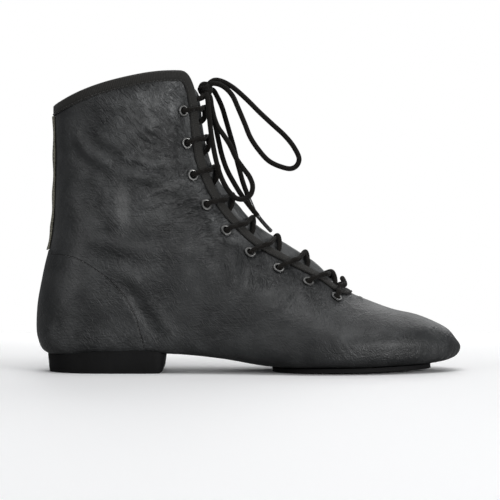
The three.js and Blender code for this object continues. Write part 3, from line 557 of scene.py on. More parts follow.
def even_points(points, count):
    """The same route with evenly spaced points."""
    length = route_lengths(points)
    wanted = np.linspace(0, length[-1], count)
    return np.stack([np.interp(wanted, length, column) for column in points.T], -1)


def distance_to_route(x, z, route):
    """Distance of each place from a route, and how far along the route its nearest point is, 0 to 1."""
    best = np.full(x.shape, 1e9)
    along = np.zeros(x.shape)
    steps = route_lengths(route) / route_lengths(route)[-1]
    for a, b, start, end in zip(route[:-1], route[1:], steps[:-1], steps[1:]):
        run = b - a
        t = np.clip(((x - a[0]) * run[0] + (z - a[1]) * run[1]) / (run @ run), 0, 1)
        distance = np.hypot(x - a[0] - t * run[0], z - a[1] - t * run[1])
        nearer = distance < best
        best = np.where(nearer, distance, best)
        along = np.where(nearer, start + t * (end - start), along)
    return best, along


def fold_relief(x, z, places, depth, half_width):
    """A soft trough with low shoulders along a route: one bell curve less a wider one, faded at its ends."""
    route = smooth_route(np.array(places, float) * MM, 4 * len(places))
    reach = 4 * half_width
    near = (x > route[:, 0].min() - reach) & (x < route[:, 0].max() + reach)
    near &= (z > route[:, 1].min() - reach) & (z < route[:, 1].max() + reach)
    relief = np.zeros(x.shape)
    distance, along = distance_to_route(x[near], z[near], route)
    bell = np.exp(-(distance / half_width) ** 2)
    shoulder = np.exp(-((distance - 1.9 * half_width) / half_width) ** 2)
    fade = np.clip(np.sin(math.pi * along), 0, 1) ** 0.6
    relief[near] = -depth * (bell - 0.35 * shoulder) * fade
    return relief


def side_folds(x, z, shift, share):
    """All folds of one side, moved by a shift and made a share as deep, and its fine wrinkles."""
    relief = np.zeros(x.shape)
    for depth, width, places in FOLDS:
        deep = FOLD_STRENGTH * depth * share * MM
        relief += fold_relief(x - shift[0], z - shift[1], places, deep, width * MM)
    for places in WRINKLES:
        relief += fold_relief(x - shift[0], z - shift[1], places, WRINKLE_DEPTH * MM, WRINKLE_WIDTH * MM)
    return relief


def counter_inside(x, z):
    """How far a place is behind the counter's seam: positive on the counter, in metres."""
    seam = smooth_route(np.array(COUNTER_SEAM) * MM, 60)
    distance, _ = distance_to_route(x, z, seam)
    edge = np.interp(z, seam[::-1, 1], seam[::-1, 0])
    behind = (x < edge) & (z < seam[0, 1] + 2 * MM)
    return np.where(behind, distance, -distance)


def edge_fade(points):
    """0 at each eyelet, where the leather is held flat, up to 1 away from them all."""
    fade = np.ones(points.shape[:-1])
    for centre in eyelet_centres().reshape(-1, 3):
        distance = np.linalg.norm(points - centre, axis=-1)
        fade = np.minimum(fade, np.clip((distance - FLAT_RADIUS) / FLAT_RAMP, 0, 1))
    return fade


def toe_pleats(points):
    """Gathers of the toe: a cosine of the direction from the ball, strongest at the sole's edge."""
    direction = np.arctan2(points[..., 1] - PLEAT_CENTRE[1], points[..., 0] - PLEAT_CENTRE[0])
    turn = np.cos(PLEATS_AROUND * direction + 2.2 * np.sin(5 * direction))
    high = np.exp(-((points[..., 2] - PLEAT_LEVEL) / PLEAT_BAND) ** 2)
    ahead = np.clip((points[..., 0] - PLEAT_START) / PLEAT_GROWTH, 0, 1)
    uneven = 0.65 + 0.35 * np.sin(11 * direction + 1.3)
    return PLEAT_DEPTH * turn * high * ahead * uneven


def relief(points):
    """Height of the leather above the smooth face: folds, gathers, the counter's step and slow waves."""
    x, z = points[..., 0], points[..., 2]
    outer = points[..., 1] < 0
    folds = np.where(outer, side_folds(x, z, (0, 0), 1), side_folds(x, z, INNER_SHIFT, INNER_SHARE))
    # The middle of the instep and the back take no folds of the sides
    sideways = np.clip((np.abs(points[..., 1]) - 7 * MM) / (9 * MM), 0, 1)
    waves = slow_waves(points, LEATHER_WAVES)
    inside = counter_inside(x, z)
    step = COUNTER_STEP * np.tanh(inside / (0.5 * MM))
    groove = COUNTER_GROOVE * np.exp(-(inside / (0.55 * MM)) ** 2)
    low = np.clip((z - 12 * MM) / (10 * MM), 0.15, 1)
    return (folds * sideways * edge_fade(points) + waves * low) + toe_pleats(points) + step - groove


def skin(station, angle, height=0.0):
    """Points at a height above the leather, with its relief."""
    station, angle = np.broadcast_arrays(np.asarray(station, float), np.asarray(angle, float))
    base = surface(station, angle)
    lifted = np.asarray(height) + relief(base)
    return base + normals(station, angle) * lifted[..., None]


def face(station, angle, height=0.0):
    """Points at a height above the smooth face."""
    station, angle = np.broadcast_arrays(np.asarray(station, float), np.asarray(angle, float))
    height = np.broadcast_to(np.asarray(height, float), station.shape)
    return surface(station, angle) + normals(station, angle) * height[..., None]


# Eyelets

def eyelet_angle(station):
    """The angle that lies the eyelets' inset beside the throat's edge, in four even steps."""
    angle = throat_angle(station)
    for _ in range(4):
        angle = angle + EYELET_INSET / 4 / np.linalg.norm(slopes(station, angle)[1], axis=-1)
    return angle


@lru_cache(maxsize=None)
def eyelet_stations():
    """Stations an even pitch apart on the line of the eyelets, from the collar down."""
    line = np.linspace(float(collar_station(np.array(0.03))), THROAT_END, 161)
    length = route_lengths(surface(line, eyelet_angle(line)))
    return np.interp(FIRST_EYELET + EYELET_PITCH * np.arange(EYELETS_A_SIDE), length, line)


def on_side(side, angle):
    """The angle on the outer side (0), or its mirror on the inner side (1)."""
    return np.where(np.asarray(side) == 0, angle, 2 * math.pi - angle)


def eyelet_centres():
    """Middle of each eyelet on the smooth face, first by side and then from the collar down."""
    stations = eyelet_stations()
    angle = eyelet_angle(stations)
    return np.stack([surface(stations, on_side(side, angle)) for side in (0, 1)])


# Meshes

def grid_faces(rows, columns, around=False, along=False):
    """Corner numbers and grid places of the quads of a grid, closed around or along where asked."""
    i, j = np.meshgrid(np.arange(rows if along else rows - 1), np.arange(columns if around else columns - 1),
                       indexing="ij")
    i, j = i.ravel(), j.ravel()
    i1, j1 = (i + 1) % rows, (j + 1) % columns
    corners = np.stack([i * columns + j, i1 * columns + j, i1 * columns + j1, i * columns + j1], 1)
    places = np.stack([np.stack([i, j], 1), np.stack([i + 1, j], 1),
                       np.stack([i + 1, j + 1], 1), np.stack([i, j + 1], 1)], 1)
    return corners, places


def mesh_piece(name, points, faces, material, uv=None, closed=False, values=None):
    """A new object from points and faces, with doubles merged. uv holds one pair for each face corner,
    values a named number for each point."""
    mesh = bpy.data.meshes.new(name)
    mesh.from_pydata(points.reshape(-1, 3).tolist(), [], faces)
    if uv is not None:
        mesh.uv_layers.new(name="UVMap").data.foreach_set("uv", np.asarray(uv, np.float32).ravel())
    for title, numbers in (values or {}).items():
        layer = mesh.attributes.new(title, "FLOAT", "POINT")
        layer.data.foreach_set("value", np.asarray(numbers, np.float32).ravel())
    merge(mesh, closed)
    mesh.polygons.foreach_set("use_smooth", np.full(len(mesh.polygons), True))
    mesh.materials.append(material)
    piece = bpy.data.objects.new(name, mesh)
    bpy.context.scene.collection.objects.link(piece)
    return piece


def merge(mesh, closed):
    """Joins points that lie on each other, drops flat faces, and turns a closed mesh's faces out."""
    work = bmesh.new()
    work.from_mesh(mesh)
    bmesh.ops.remove_doubles(work, verts=work.verts, dist=1e-6)
    bmesh.ops.dissolve_degenerate(work, edges=work.edges, dist=1e-7)
    if closed:
        bmesh.ops.recalc_face_normals(work, faces=work.faces)
    work.to_mesh(mesh)
    work.free()


def grid_piece(name, grid, material, around=False, along=False, caps=False, keep=None, uv=None, **more):
    """A piece from a grid of points. uv is two lists: u for the columns and v for the rows, one value
    longer where the grid closes. keep says which faces stay. caps closes both ends of a tube."""
    rows, columns = grid.shape[:2]
    corners, places = grid_faces(rows, columns, around, along)
    if keep is not None:
        corners, places = corners[keep], places[keep]
    faces = corners.tolist()
    pairs = None
    if uv is not None:
        pairs = np.stack([uv[0][places[..., 1]], uv[1][places[..., 0]]], -1).reshape(-1, 2)
    if caps:
        faces.append(list(range(columns))[::-1])
        faces.append(list(range((rows - 1) * columns, rows * columns)))
        if pairs is not None:
            turns = np.stack([uv[0][:columns], np.full(columns, uv[1][0])], -1)
            pairs = np.vstack([pairs, turns[::-1], turns])
    return mesh_piece(name, grid, faces, material, uv=pairs, **more)


def shell_piece(name, upper_side, lower_side, material):
    """A closed pad from two grids of points that share their outline, with a wall between them."""
    rows, columns = upper_side.shape[:2]
    points = np.concatenate([upper_side.reshape(-1, 3), lower_side.reshape(-1, 3)])
    count = rows * columns
    corners, _ = grid_faces(rows, columns)
    index = np.arange(count).reshape(rows, columns)
    rim = np.concatenate([index[0, :-1], index[:-1, -1], index[-1, :0:-1], index[:0:-1, 0]])
    ahead = np.roll(rim, -1)
    wall = np.stack([rim, ahead, ahead + count, rim + count], 1)
    faces = np.vstack([corners, corners[:, ::-1] + count, wall]).tolist()
    return mesh_piece(name, points, faces, material, closed=True)


def thicken(piece, thickness):
    """Gives an open sheet its wall, on its inner side."""
    wall = piece.modifiers.new("Wall", "SOLIDIFY")
    wall.thickness = thickness
    wall.offset = -1.0


def round_edges(piece, width, segments=3):
    """Rounds the sharp edges of a pad or block."""
    bevel = piece.modifiers.new("Rounded edges", "BEVEL")
    bevel.width = width
    bevel.segments = segments
    bevel.limit_method = "ANGLE"
    bevel.angle_limit = math.radians(50)
    bevel.harden_normals = False


def hold(piece, slot, *nodes):
    """The piece rides on the boot and stands for the nodes, which it hides.
    The slot is not used.
    """
    if nodes:
        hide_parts(*nodes)
    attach(piece, BODY)
    return piece


def tube_grid(route, radius, sides, axis):
    """A circle carried along a route. Each circle is square to the route, and its zero lies along the
    part of the axis that is square to the route."""
    ahead = unit(np.gradient(route, axis=0))
    axis = np.broadcast_to(np.asarray(axis, float), route.shape)
    across = unit(axis - ahead * dot(axis, ahead)[:, None])
    up = np.cross(ahead, across)
    turn = np.arange(sides) * 2 * math.pi / sides
    radius = np.broadcast_to(np.asarray(radius, float), route.shape[:1])[:, None, None]
    ring = across[:, None] * np.cos(turn)[None, :, None] + up[:, None] * np.sin(turn)[None, :, None]
    return route[:, None] + ring * radius


def tube_piece(name, route, radius, material, sides=16, axis=(0, 1, 0), **more):
    """A round tube along a route, with u once around and v in the same scale along."""
    length = route_lengths(route)
    v = length / (2 * math.pi * float(np.max(radius)))
    return grid_piece(name, tube_grid(route, radius, sides, axis), material, around=True, caps=True,
                      uv=(np.linspace(0, 1, sides + 1), v), closed=True, **more)


def stitch_row(name, places, ahead, up, length, material):
    """One thread loop at each place: a short tube that dips at both ends, copied as whole arrays."""
    radius = sizes().thread / 2
    t = np.linspace(-1, 1, 7)
    rise = (1 - t ** 4) * radius * 1.5 - STITCH_SINK * radius
    thick = radius * np.sqrt(np.maximum(1 - np.abs(t) ** 6, 0.04))
    turn = np.arange(6) * math.pi / 3
    along = np.repeat(t[:, None] * length / 2, 6, 1)
    sideways = thick[:, None] * np.cos(turn)
    height = rise[:, None] + thick[:, None] * np.sin(turn)
    across = unit(np.cross(ahead, up))
    parts = ((ahead, along), (across, sideways), (up, height))
    points = places[:, None, None] + sum(way[:, None, None] * reach[None, ..., None] for way, reach in parts)
    corners, _ = grid_faces(7, 6, around=True)
    ends = [list(range(6))[::-1], list(range(36, 42))]
    faces = [[c + 42 * k for c in quad] for k in range(len(places)) for quad in corners.tolist() + ends]
    return mesh_piece(name, points, faces, material, closed=True)


def nearest_rows(places, row):
    """For each place, the number of the nearest point of a row."""
    return np.argmin(np.linalg.norm(places[:, None] - row[None], axis=-1), axis=1)


def spaced(points, pitch):
    """Evenly spaced places on a route, with the directions of the route there."""
    count = max(int(route_lengths(points)[-1] / pitch), 2)
    fine = even_points(points, count * 4 + 1)
    return fine[2::4], unit(np.gradient(fine, axis=0))[2::4]


# Finishes: the depth of each bump, then how rough a finish is from its smoothest to its roughest place
GRAIN_DEPTH = 0.18 * MM
CREASE_DEPTH = 2.2 * MM
TONGUE_CREASE_DEPTH = 0.8 * MM
LINE_DEPTH = 0.6 * MM
WEAVE_DEPTH = 0.1 * MM
RUBBER_DEPTH = 0.12 * MM
RIBBON_DEPTH = 0.18 * MM
BRAID_DEPTH = 0.22 * MM
SCRATCH_DEPTH = 0.02 * MM
TWIST_DEPTH = 0.06 * MM
LEATHER_ROUGHNESS = (0.40, 0.56)
FABRIC_ROUGHNESS = (0.8, 0.95)
RUBBER_ROUGHNESS = (0.62, 0.82)
RIBBON_ROUGHNESS = (0.72, 0.9)
BRAID_ROUGHNESS = (0.7, 0.88)
RING_ROUGHNESS = (0.4, 0.25)
TIP_ROUGHNESS = (0.12, 0.3)
THREAD_ROUGHNESS = (0.5, 0.75)

# Patterns
FULL = (0.0, 1.0)
WEAVE_CELL = 0.6 * MM
RIB_PITCH = 1.1 * MM
BRAID_STRANDS = 8.0
# Turns of the fine creases in the side view, for each of the mesh's masks, and of the tongue's
CREASE_TURNS = {"falling": 0.85, "level": -0.1, "steep": 1.3}
TONGUE_CREASE_TURN = 0.7
# Share of the leather that is rubbed and painted lighter as a highlight: everywhere, added beside the lacing,
# and at least on the tongue, where it is the tongue's painted sheen
RUB_AND_SHEEN_PLAIN = 0.3
RUB_AND_HIGHLIGHT_BY_LACING = 4.6
RUB_AND_SHEEN_TONGUE = 0.6
# Painted shadow lines, in the gap beside the ribbon's edge and in the counter's seam: half widths, how near
# to black they are, and how far in the ribbon's line lies
EDGE_SHADOW_WIDTH = 0.9 * MM
EDGE_SHADOW_SHIFT = 0.3 * MM
EDGE_SHADOW_DARKNESS = 0.9
SEAM_SHADOW_WIDTH = 0.7 * MM
SEAM_SHADOW_DARKNESS = 0.8
PAINTED_SHADOW_COLOUR = (0.001, 0.001, 0.001)


# Node helpers

def fill(tree, socket, value):
    """Links a socket to an output, or sets its value."""
    if isinstance(value, bpy.types.NodeSocket):
        tree.links.new(value, socket)
    else:
        socket.default_value = value


def node(tree, kind, inputs=None, **settings):
    """Adds a node, sets it, and fills its inputs with values or links."""
    made = tree.nodes.new(kind)
    for key, value in settings.items():
        setattr(made, key, value)
    for key, value in (inputs or {}).items():
        fill(tree, made.inputs[key], value)
    return made


def maths(tree, operation, *values):
    """The result of one Math node."""
    return node(tree, "ShaderNodeMath", dict(enumerate(values)), operation=operation).outputs[0]


def clamped(tree, value):
    """The value, held between 0 and 1."""
    return node(tree, "ShaderNodeClamp", {"Value": value}).outputs[0]


def ramp(tree, value, result, reach=FULL, kind="LINEAR"):
    """The value's reach, from and to, laid over the result's."""
    inputs = {"Value": value, "From Min": reach[0], "From Max": reach[1], "To Min": result[0],
              "To Max": result[1]}
    return node(tree, "ShaderNodeMapRange", inputs, interpolation_type=kind).outputs[0]


def object_place(tree):
    """Places in the object's own coordinates."""
    return node(tree, "ShaderNodeTexCoord").outputs["Object"]


def noise(tree, place, scale, detail=2.0, roughness=0.5, output="Fac"):
    """Layered noise at a place, as a number or a colour."""
    inputs = {"Vector": place, "Scale": scale, "Detail": detail, "Roughness": roughness}
    return node(tree, "ShaderNodeTexNoise", inputs).outputs[output]


def warped(tree, place, scale, reach):
    """The place, moved by a slow noise, so that a pattern on it bends."""
    colour = noise(tree, place, scale, output="Color")
    move = node(tree, "ShaderNodeVectorMath", {0: colour, 1: (reach, reach, reach)}, operation="MULTIPLY")
    moved = node(tree, "ShaderNodeVectorMath", {0: place, 1: move.outputs[0]}, operation="ADD")
    return moved.outputs[0]


def attribute(tree, name):
    """A number that the mesh holds for each of its points."""
    return node(tree, "ShaderNodeAttribute", attribute_name=name).outputs["Fac"]


def narrow_line(tree, distance, half_width):
    """1 on a line and 0 beside it, from the distance to the line."""
    return ramp(tree, maths(tree, "ABSOLUTE", distance), FULL, (half_width, 0.0), "SMOOTHSTEP")


def blend_colours(tree, mask, first, second):
    """A mix of two colours by a mask. Each colour is three numbers or an output."""
    mix = node(tree, "ShaderNodeMix", {"Factor": mask}, data_type="RGBA")
    for socket, colour in zip([s for s in mix.inputs if s.type == "RGBA"], (first, second)):
        fill(tree, socket, colour if isinstance(colour, bpy.types.NodeSocket) else (*colour, 1))
    return next(s for s in mix.outputs if s.type == "RGBA")


def scaled(colour, share):
    """A colour made a share as light."""
    return tuple(min(c * share, 1) for c in colour)


def bump(tree, height, distance, strength=1.0, normal=None):
    """The normal of a bump, on top of another normal where one is given."""
    inputs = {"Height": height, "Distance": distance, "Strength": strength}
    if normal is not None:
        inputs["Normal"] = normal
    return node(tree, "ShaderNodeBump", inputs).outputs["Normal"]


# Node groups

def new_group(name, inputs, outputs):
    """An empty shader group with a Vector, named numbers (name, default), and outputs that are numbers."""
    group = bpy.data.node_groups.new(name, "ShaderNodeTree")
    group.interface.new_socket("Vector", in_out="INPUT", socket_type="NodeSocketVector")
    for title, default in inputs:
        socket = group.interface.new_socket(title, in_out="INPUT", socket_type="NodeSocketFloat")
        socket.default_value = default
    for title in outputs:
        group.interface.new_socket(title, in_out="OUTPUT", socket_type="NodeSocketFloat")
    return group, group.nodes.new("NodeGroupInput").outputs, group.nodes.new("NodeGroupOutput").inputs


def use_group(tree, name, **inputs):
    """Places a group in a material with its own values, and gives its outputs."""
    named = {key.title(): value for key, value in inputs.items()}
    return node(tree, "ShaderNodeGroup", named, node_tree=bpy.data.node_groups[name]).outputs


def build_grain_group():
    """Leather grain: small cells with creases between them, over a slow unevenness."""
    group, given, out = new_group("Leather grain", [("Cell", 0.9 * MM)], ["Height", "Tone"])
    place = given["Vector"]
    inputs = {"Vector": warped(group, place, 260.0, 1.1 * MM), "Randomness": 1.0,
              "Scale": maths(group, "DIVIDE", 1.0, given["Cell"])}
    cells = node(group, "ShaderNodeTexVoronoi", inputs, feature="SMOOTH_F1").outputs["Distance"]
    dome = maths(group, "MULTIPLY", cells, -0.9)
    fine = maths(group, "MULTIPLY", noise(group, place, 1900.0, 3.0), 0.35)
    fill(group, out["Height"], maths(group, "ADD", dome, fine))
    fill(group, out["Tone"], noise(group, place, 46.0, 4.0, 0.62))


def build_creases_group():
    """Fine creases: noise stretched along one direction in the side view, with narrow valleys."""
    group, given, out = new_group("Leather creases", [("Turn", 0.0), ("Scale", 420.0)], ["Height"])
    turn = node(group, "ShaderNodeCombineXYZ", {"Y": given["Turn"]}).outputs[0]
    inputs = {"Vector": warped(group, given["Vector"], 70.0, 8 * MM), "Rotation": turn,
              "Scale": (4.5, 2.0, 1.0)}
    laid = node(group, "ShaderNodeMapping", inputs, vector_type="TEXTURE").outputs[0]
    waves = noise(group, laid, given["Scale"], 3.0, 0.55)
    middle = maths(group, "ABSOLUTE", maths(group, "SUBTRACT", waves, 0.5))
    valley = maths(group, "MINIMUM", maths(group, "MULTIPLY", middle, 8.0), 1.0)
    height = maths(group, "ADD", maths(group, "MULTIPLY", waves, 0.8), maths(group, "MULTIPLY", valley, 0.6))
    fill(group, out["Height"], height)


def build_ribbon_group():
    """Ribbed ribbon: even ribs square to its length, with the fine threads between them."""
    group, given, out = new_group("Ribbed ribbon", [("Rib", 0.9 * MM)], ["Height", "Tone"])
    parts = node(group, "ShaderNodeSeparateXYZ", {0: given["Vector"]}).outputs
    rib = maths(group, "DIVIDE", parts[1], given["Rib"])
    thread = maths(group, "DIVIDE", parts[0], given["Rib"])
    ribs = maths(group, "ABSOLUTE", maths(group, "SINE", maths(group, "MULTIPLY", rib, math.pi)))
    shifted = maths(group, "ADD", maths(group, "MULTIPLY", thread, 3 * math.pi), maths(group, "FLOOR", rib))
    threads = maths(group, "ABSOLUTE", maths(group, "SINE", shifted))
    height = maths(group, "ADD", ribs, maths(group, "MULTIPLY", threads, 0.3))
    fill(group, out["Height"], height)
    # The tone follows the height, so the hollows between the ribs take painted shade
    fill(group, out["Tone"], maths(group, "MULTIPLY", height, 0.77))


def build_wear_and_sheen_group():
    """Patches where a thing is rubbed, which on the leather are also painted highlight: a slow noise cut to
    soft patches, with finer specks inside them.
    """
    group, given, out = new_group("Rubbed and sheen patches", [("Amount", 0.5)], ["Mask"])
    place = given["Vector"]
    patch = ramp(group, noise(group, place, 34.0, 5.0, 0.65), FULL, (0.42, 0.72))
    specks = maths(group, "ADD", noise(group, place, 620.0), 0.45)
    mask = maths(group, "MULTIPLY", maths(group, "MULTIPLY", patch, specks), given["Amount"])
    fill(group, out["Mask"], clamped(group, mask))


# Materials

def socket_name(key):
    """The shader's name of a socket from a plain keyword."""
    return key.replace("_", " ").title().replace("Ior", "IOR")


def new_material(name, **sockets):
    """A material with a Principled shader, its constant values set on the shader's own sockets."""
    material = bpy.data.materials.new(name)
    material.use_nodes = True
    tree = material.node_tree
    shader = tree.nodes["Principled BSDF"]
    feed(tree, shader, **sockets)
    return material, tree, shader


def feed(tree, shader, **sockets):
    """Sets or links sockets of the shader, by plain keywords."""
    for key, value in sockets.items():
        fill(tree, shader.inputs[socket_name(key)], value)


def plain_leather(name, coat_weight, coat_roughness):
    """What both leathers share: a waxed coat, the grain, how rough it is, and where it is rubbed
    and painted lighter as a highlight.
    """
    material, tree, shader = new_material(name, coat_weight=coat_weight, coat_roughness=coat_roughness,
                                          coat_ior=1.45, specular_ior_level=0.4)
    place = object_place(tree)
    grain = use_group(tree, "Leather grain", vector=place, cell=sizes().grain)
    wear_and_sheen = use_group(tree, "Rubbed and sheen patches", vector=place, amount=0.5)["Mask"]
    rough = ramp(tree, grain["Tone"], LEATHER_ROUGHNESS, (0.3, 0.7))
    return material, tree, shader, place, grain["Height"], rough, wear_and_sheen


def leather_material(name):
    """Soft black leather: fine grain, creases that run up to the lacing and rubbed places, painted lighter as
    a highlight most of all beside the lacing, with painted shadow lines where the ribbon and the counter lie
    on it."""
    tone = colours()
    material, tree, shader, place, grain, rough, wear_and_sheen = plain_leather(name, 0.12, 0.34)
    # Painted highlight as well as rubbing: rubbed patches are painted lighter, and far more of them beside
    # the lacing
    near = maths(tree, "MAXIMUM", attribute(tree, "falling"), attribute(tree, "level"))
    more = maths(tree, "ADD", RUB_AND_SHEEN_PLAIN, maths(tree, "MULTIPLY", near, RUB_AND_HIGHLIGHT_BY_LACING))
    share = clamped(tree, maths(tree, "MULTIPLY", wear_and_sheen, more))
    rubbed = blend_colours(tree, share, tone.leather, tone.leather_worn_and_lit)
    folded = 0.0
    for title, turn in CREASE_TURNS.items():
        lines = use_group(tree, "Leather creases", vector=place, turn=turn)["Height"]
        folded = maths(tree, "ADD", folded, maths(tree, "MULTIPLY", lines, attribute(tree, title)))
    # Painted shadow: near-black lines in the gap beside the ribbon's edge and along the counter's seam, made
    # rough so that no sheen lifts them
    from_edge = maths(tree, "SUBTRACT", attribute(tree, "edge"), EDGE_SHADOW_SHIFT)
    gap = maths(tree, "MULTIPLY", narrow_line(tree, from_edge, EDGE_SHADOW_WIDTH), EDGE_SHADOW_DARKNESS)
    seam = maths(tree, "MULTIPLY", narrow_line(tree, attribute(tree, "seam"), SEAM_SHADOW_WIDTH), SEAM_SHADOW_DARKNESS)
    painted_shadow = maths(tree, "MAXIMUM", gap, seam)
    sunk = bump(tree, maths(tree, "SUBTRACT", 1.0, painted_shadow), LINE_DEPTH, 0.8)
    coarse = bump(tree, folded, CREASE_DEPTH, 1.0, sunk)
    feed(tree, shader, base_color=blend_colours(tree, painted_shadow, rubbed, PAINTED_SHADOW_COLOUR),
         roughness=maths(tree, "MAXIMUM", rough, painted_shadow), normal=bump(tree, grain, GRAIN_DEPTH, 1.0, coarse))
    return material


def tongue_material(name):
    """The tongue's thinner leather: the same grain, rubbed and glossier, with even creases, and most of it
    painted lighter as its sheen highlight.
    """
    tone = colours()
    material, tree, shader, place, grain, rough, wear_and_sheen = plain_leather(name, 0.45, 0.2)
    # At least this share of the tongue is painted lighter, as the tongue's painted sheen highlight
    share = maths(tree, "MAXIMUM", wear_and_sheen, RUB_AND_SHEEN_TONGUE)
    lines = use_group(tree, "Leather creases", vector=place, turn=TONGUE_CREASE_TURN, scale=260.0)["Height"]
    coarse = bump(tree, lines, TONGUE_CREASE_DEPTH)
    feed(tree, shader, base_color=blend_colours(tree, share, tone.leather, tone.leather_worn_and_lit),
         roughness=rough, normal=bump(tree, grain, GRAIN_DEPTH, 1.0, coarse))
    return material


def fabric_material(name):
    """Woven lining: a fine weave from two crossed waves."""
    colour = colours().lining
    material, tree, shader = new_material(name, sheen_weight=0.25, sheen_roughness=0.5,
                                          specular_ior_level=0.2)
    inputs = {"Vector": object_place(tree), "Scale": 1 / WEAVE_CELL / 6.2832, "Distortion": 1.0}
    waves = [node(tree, "ShaderNodeTexWave", inputs, bands_direction=direction).outputs["Fac"]
             for direction in ("X", "Z")]
    weave = maths(tree, "MULTIPLY", *waves)
    # The weave's raised crossings are painted lighter, and the hollows between them take painted shade
    feed(tree, shader, base_color=blend_colours(tree, weave, colour, scaled(colour, 1.9)),
         roughness=ramp(tree, weave, FABRIC_ROUGHNESS), normal=bump(tree, weave, WEAVE_DEPTH))
    return material


def rubber_material(name):
    """Matt black rubber with a fine tooth, a little dusty where it is rubbed."""
    colour = colours().rubber
    material, tree, shader = new_material(name, specular_ior_level=0.15)
    place = object_place(tree)
    wear_and_sheen = use_group(tree, "Rubbed and sheen patches", vector=place, amount=0.5)["Mask"]
    tooth = noise(tree, place, 1400.0, 4.0)
    feed(tree, shader, base_color=blend_colours(tree, wear_and_sheen, colour, scaled(colour, 2.2)),
         roughness=ramp(tree, tooth, RUBBER_ROUGHNESS), normal=bump(tree, tooth, RUBBER_DEPTH))
    return material


def ribbon_material(name, colour):
    """Ribbed woven ribbon, its threads a little lighter on top of the ribs, with painted shade in the
    hollows between them.
    """
    material, tree, shader = new_material(name, sheen_weight=0.12, sheen_roughness=0.4,
                                          specular_ior_level=0.15)
    uv = node(tree, "ShaderNodeUVMap", uv_map="UVMap").outputs[0]
    weave = use_group(tree, "Ribbed ribbon", vector=uv, rib=RIB_PITCH)
    feed(tree, shader, base_color=blend_colours(tree, weave["Tone"], colour, scaled(colour, 2.4)),
         roughness=ramp(tree, weave["Tone"], RIBBON_ROUGHNESS),
         normal=bump(tree, weave["Height"], RIBBON_DEPTH))
    return material


def lace_material(name):
    """Round braided cotton: two sets of slanted strands that pass over each other in turn, darker between
    them as painted shade in the hollows.
    """
    colour = colours().lace
    material, tree, shader = new_material(name, sheen_weight=0.06, sheen_roughness=0.45,
                                          specular_ior_level=0.1)
    uv = node(tree, "ShaderNodeUVMap", uv_map="UVMap").outputs[0]
    parts = node(tree, "ShaderNodeSeparateXYZ", {0: uv}).outputs
    u = maths(tree, "MULTIPLY", parts[0], BRAID_STRANDS)
    v = maths(tree, "MULTIPLY", parts[1], BRAID_STRANDS * 0.8)
    slants = [maths(tree, "MULTIPLY", maths(tree, kind, u, v), math.pi) for kind in ("ADD", "SUBTRACT")]
    waves = [maths(tree, "SINE", slant) for slant in slants]
    first, second = (maths(tree, "ABSOLUTE", wave) for wave in waves)
    over = maths(tree, "GREATER_THAN", maths(tree, "MULTIPLY", *waves), 0.0)
    under = maths(tree, "SUBTRACT", 1.0, over)
    height = maths(tree, "ADD", maths(tree, "MULTIPLY", first, over), maths(tree, "MULTIPLY", second, under))
    fuzzy = maths(tree, "ADD", height, maths(tree, "MULTIPLY", noise(tree, uv, 60.0, 3.0), 0.4))
    tone = maths(tree, "POWER", height, 0.7)
    feed(tree, shader, base_color=blend_colours(tree, tone, scaled(colour, 0.45), scaled(colour, 1.7)),
         roughness=ramp(tree, tone, BRAID_ROUGHNESS), normal=bump(tree, fuzzy, BRAID_DEPTH))
    return material


def tip_material(name):
    """Glossy lacquer with faint rubbing, on the lace's tips."""
    colour = colours().enamel
    material, tree, shader = new_material(name, coat_weight=0.6, coat_roughness=0.12, metallic=0.0)
    place = object_place(tree)
    wear_and_sheen = use_group(tree, "Rubbed and sheen patches", vector=place, amount=0.8)["Mask"]
    feed(tree, shader, base_color=blend_colours(tree, wear_and_sheen, colour, scaled(colour, 6)),
         roughness=ramp(tree, wear_and_sheen, TIP_ROUGHNESS),
         normal=bump(tree, noise(tree, place, 2200.0), SCRATCH_DEPTH))
    return material


def ring_material(name):
    """Black enamel with a thin bright metallic ring around the hole: a painted glint on the rim's rounded
    top, where the enamel is also rubbed through.
    """
    tone = colours()
    material, tree, shader = new_material(name, coat_weight=0.3, coat_roughness=0.2)
    specks = noise(tree, object_place(tree), 900.0)
    glint = clamped(tree, maths(tree, "MULTIPLY", attribute(tree, "glint"), maths(tree, "ADD", specks, 0.45)))
    feed(tree, shader, base_color=blend_colours(tree, glint, tone.enamel, tone.glint_metal),
         metallic=maths(tree, "MULTIPLY", glint, 0.95), roughness=ramp(tree, glint, RING_ROUGHNESS),
         normal=bump(tree, specks, SCRATCH_DEPTH))
    return material


def thread_material(name, colour):
    """Twisted sewing thread."""
    material, tree, shader = new_material(name, sheen_weight=0.2)
    twist = noise(tree, object_place(tree), 3000.0, 1.0)
    feed(tree, shader, base_color=blend_colours(tree, twist, scaled(colour, 0.6), colour),
         roughness=ramp(tree, twist, THREAD_ROUGHNESS), normal=bump(tree, twist, TWIST_DEPTH))
    return material


@lru_cache(maxsize=None)
def material(name):
    """One of the boot's materials, built the first time that it is asked for."""
    tone = colours()
    makers = {
        "leather": lambda: leather_material("Black leather"),
        "tongue_leather": lambda: tongue_material("Tongue leather"),
        "lining": lambda: fabric_material("Lining fabric"),
        "rubber": lambda: rubber_material("Black rubber"),
        "ribbon": lambda: ribbon_material("Ribbed ribbon", tone.ribbon),
        "strip": lambda: ribbon_material("Strip ribbon", tone.strip),
        "ring": lambda: ring_material("Enamel with glint"),
        "lace": lambda: lace_material("Braided lace"),
        "tip": lambda: tip_material("Lace tip"),
        "thread": lambda: thread_material("Grey thread", tone.thread),
        "dark_thread": lambda: thread_material("Black thread", scaled(tone.ribbon, 1.6)),
    }
    if not bpy.data.node_groups.get("Leather grain"):
        for build in (build_grain_group, build_creases_group, build_ribbon_group, build_wear_and_sheen_group):
            build()
    return makers[name]()


# Camera and stage

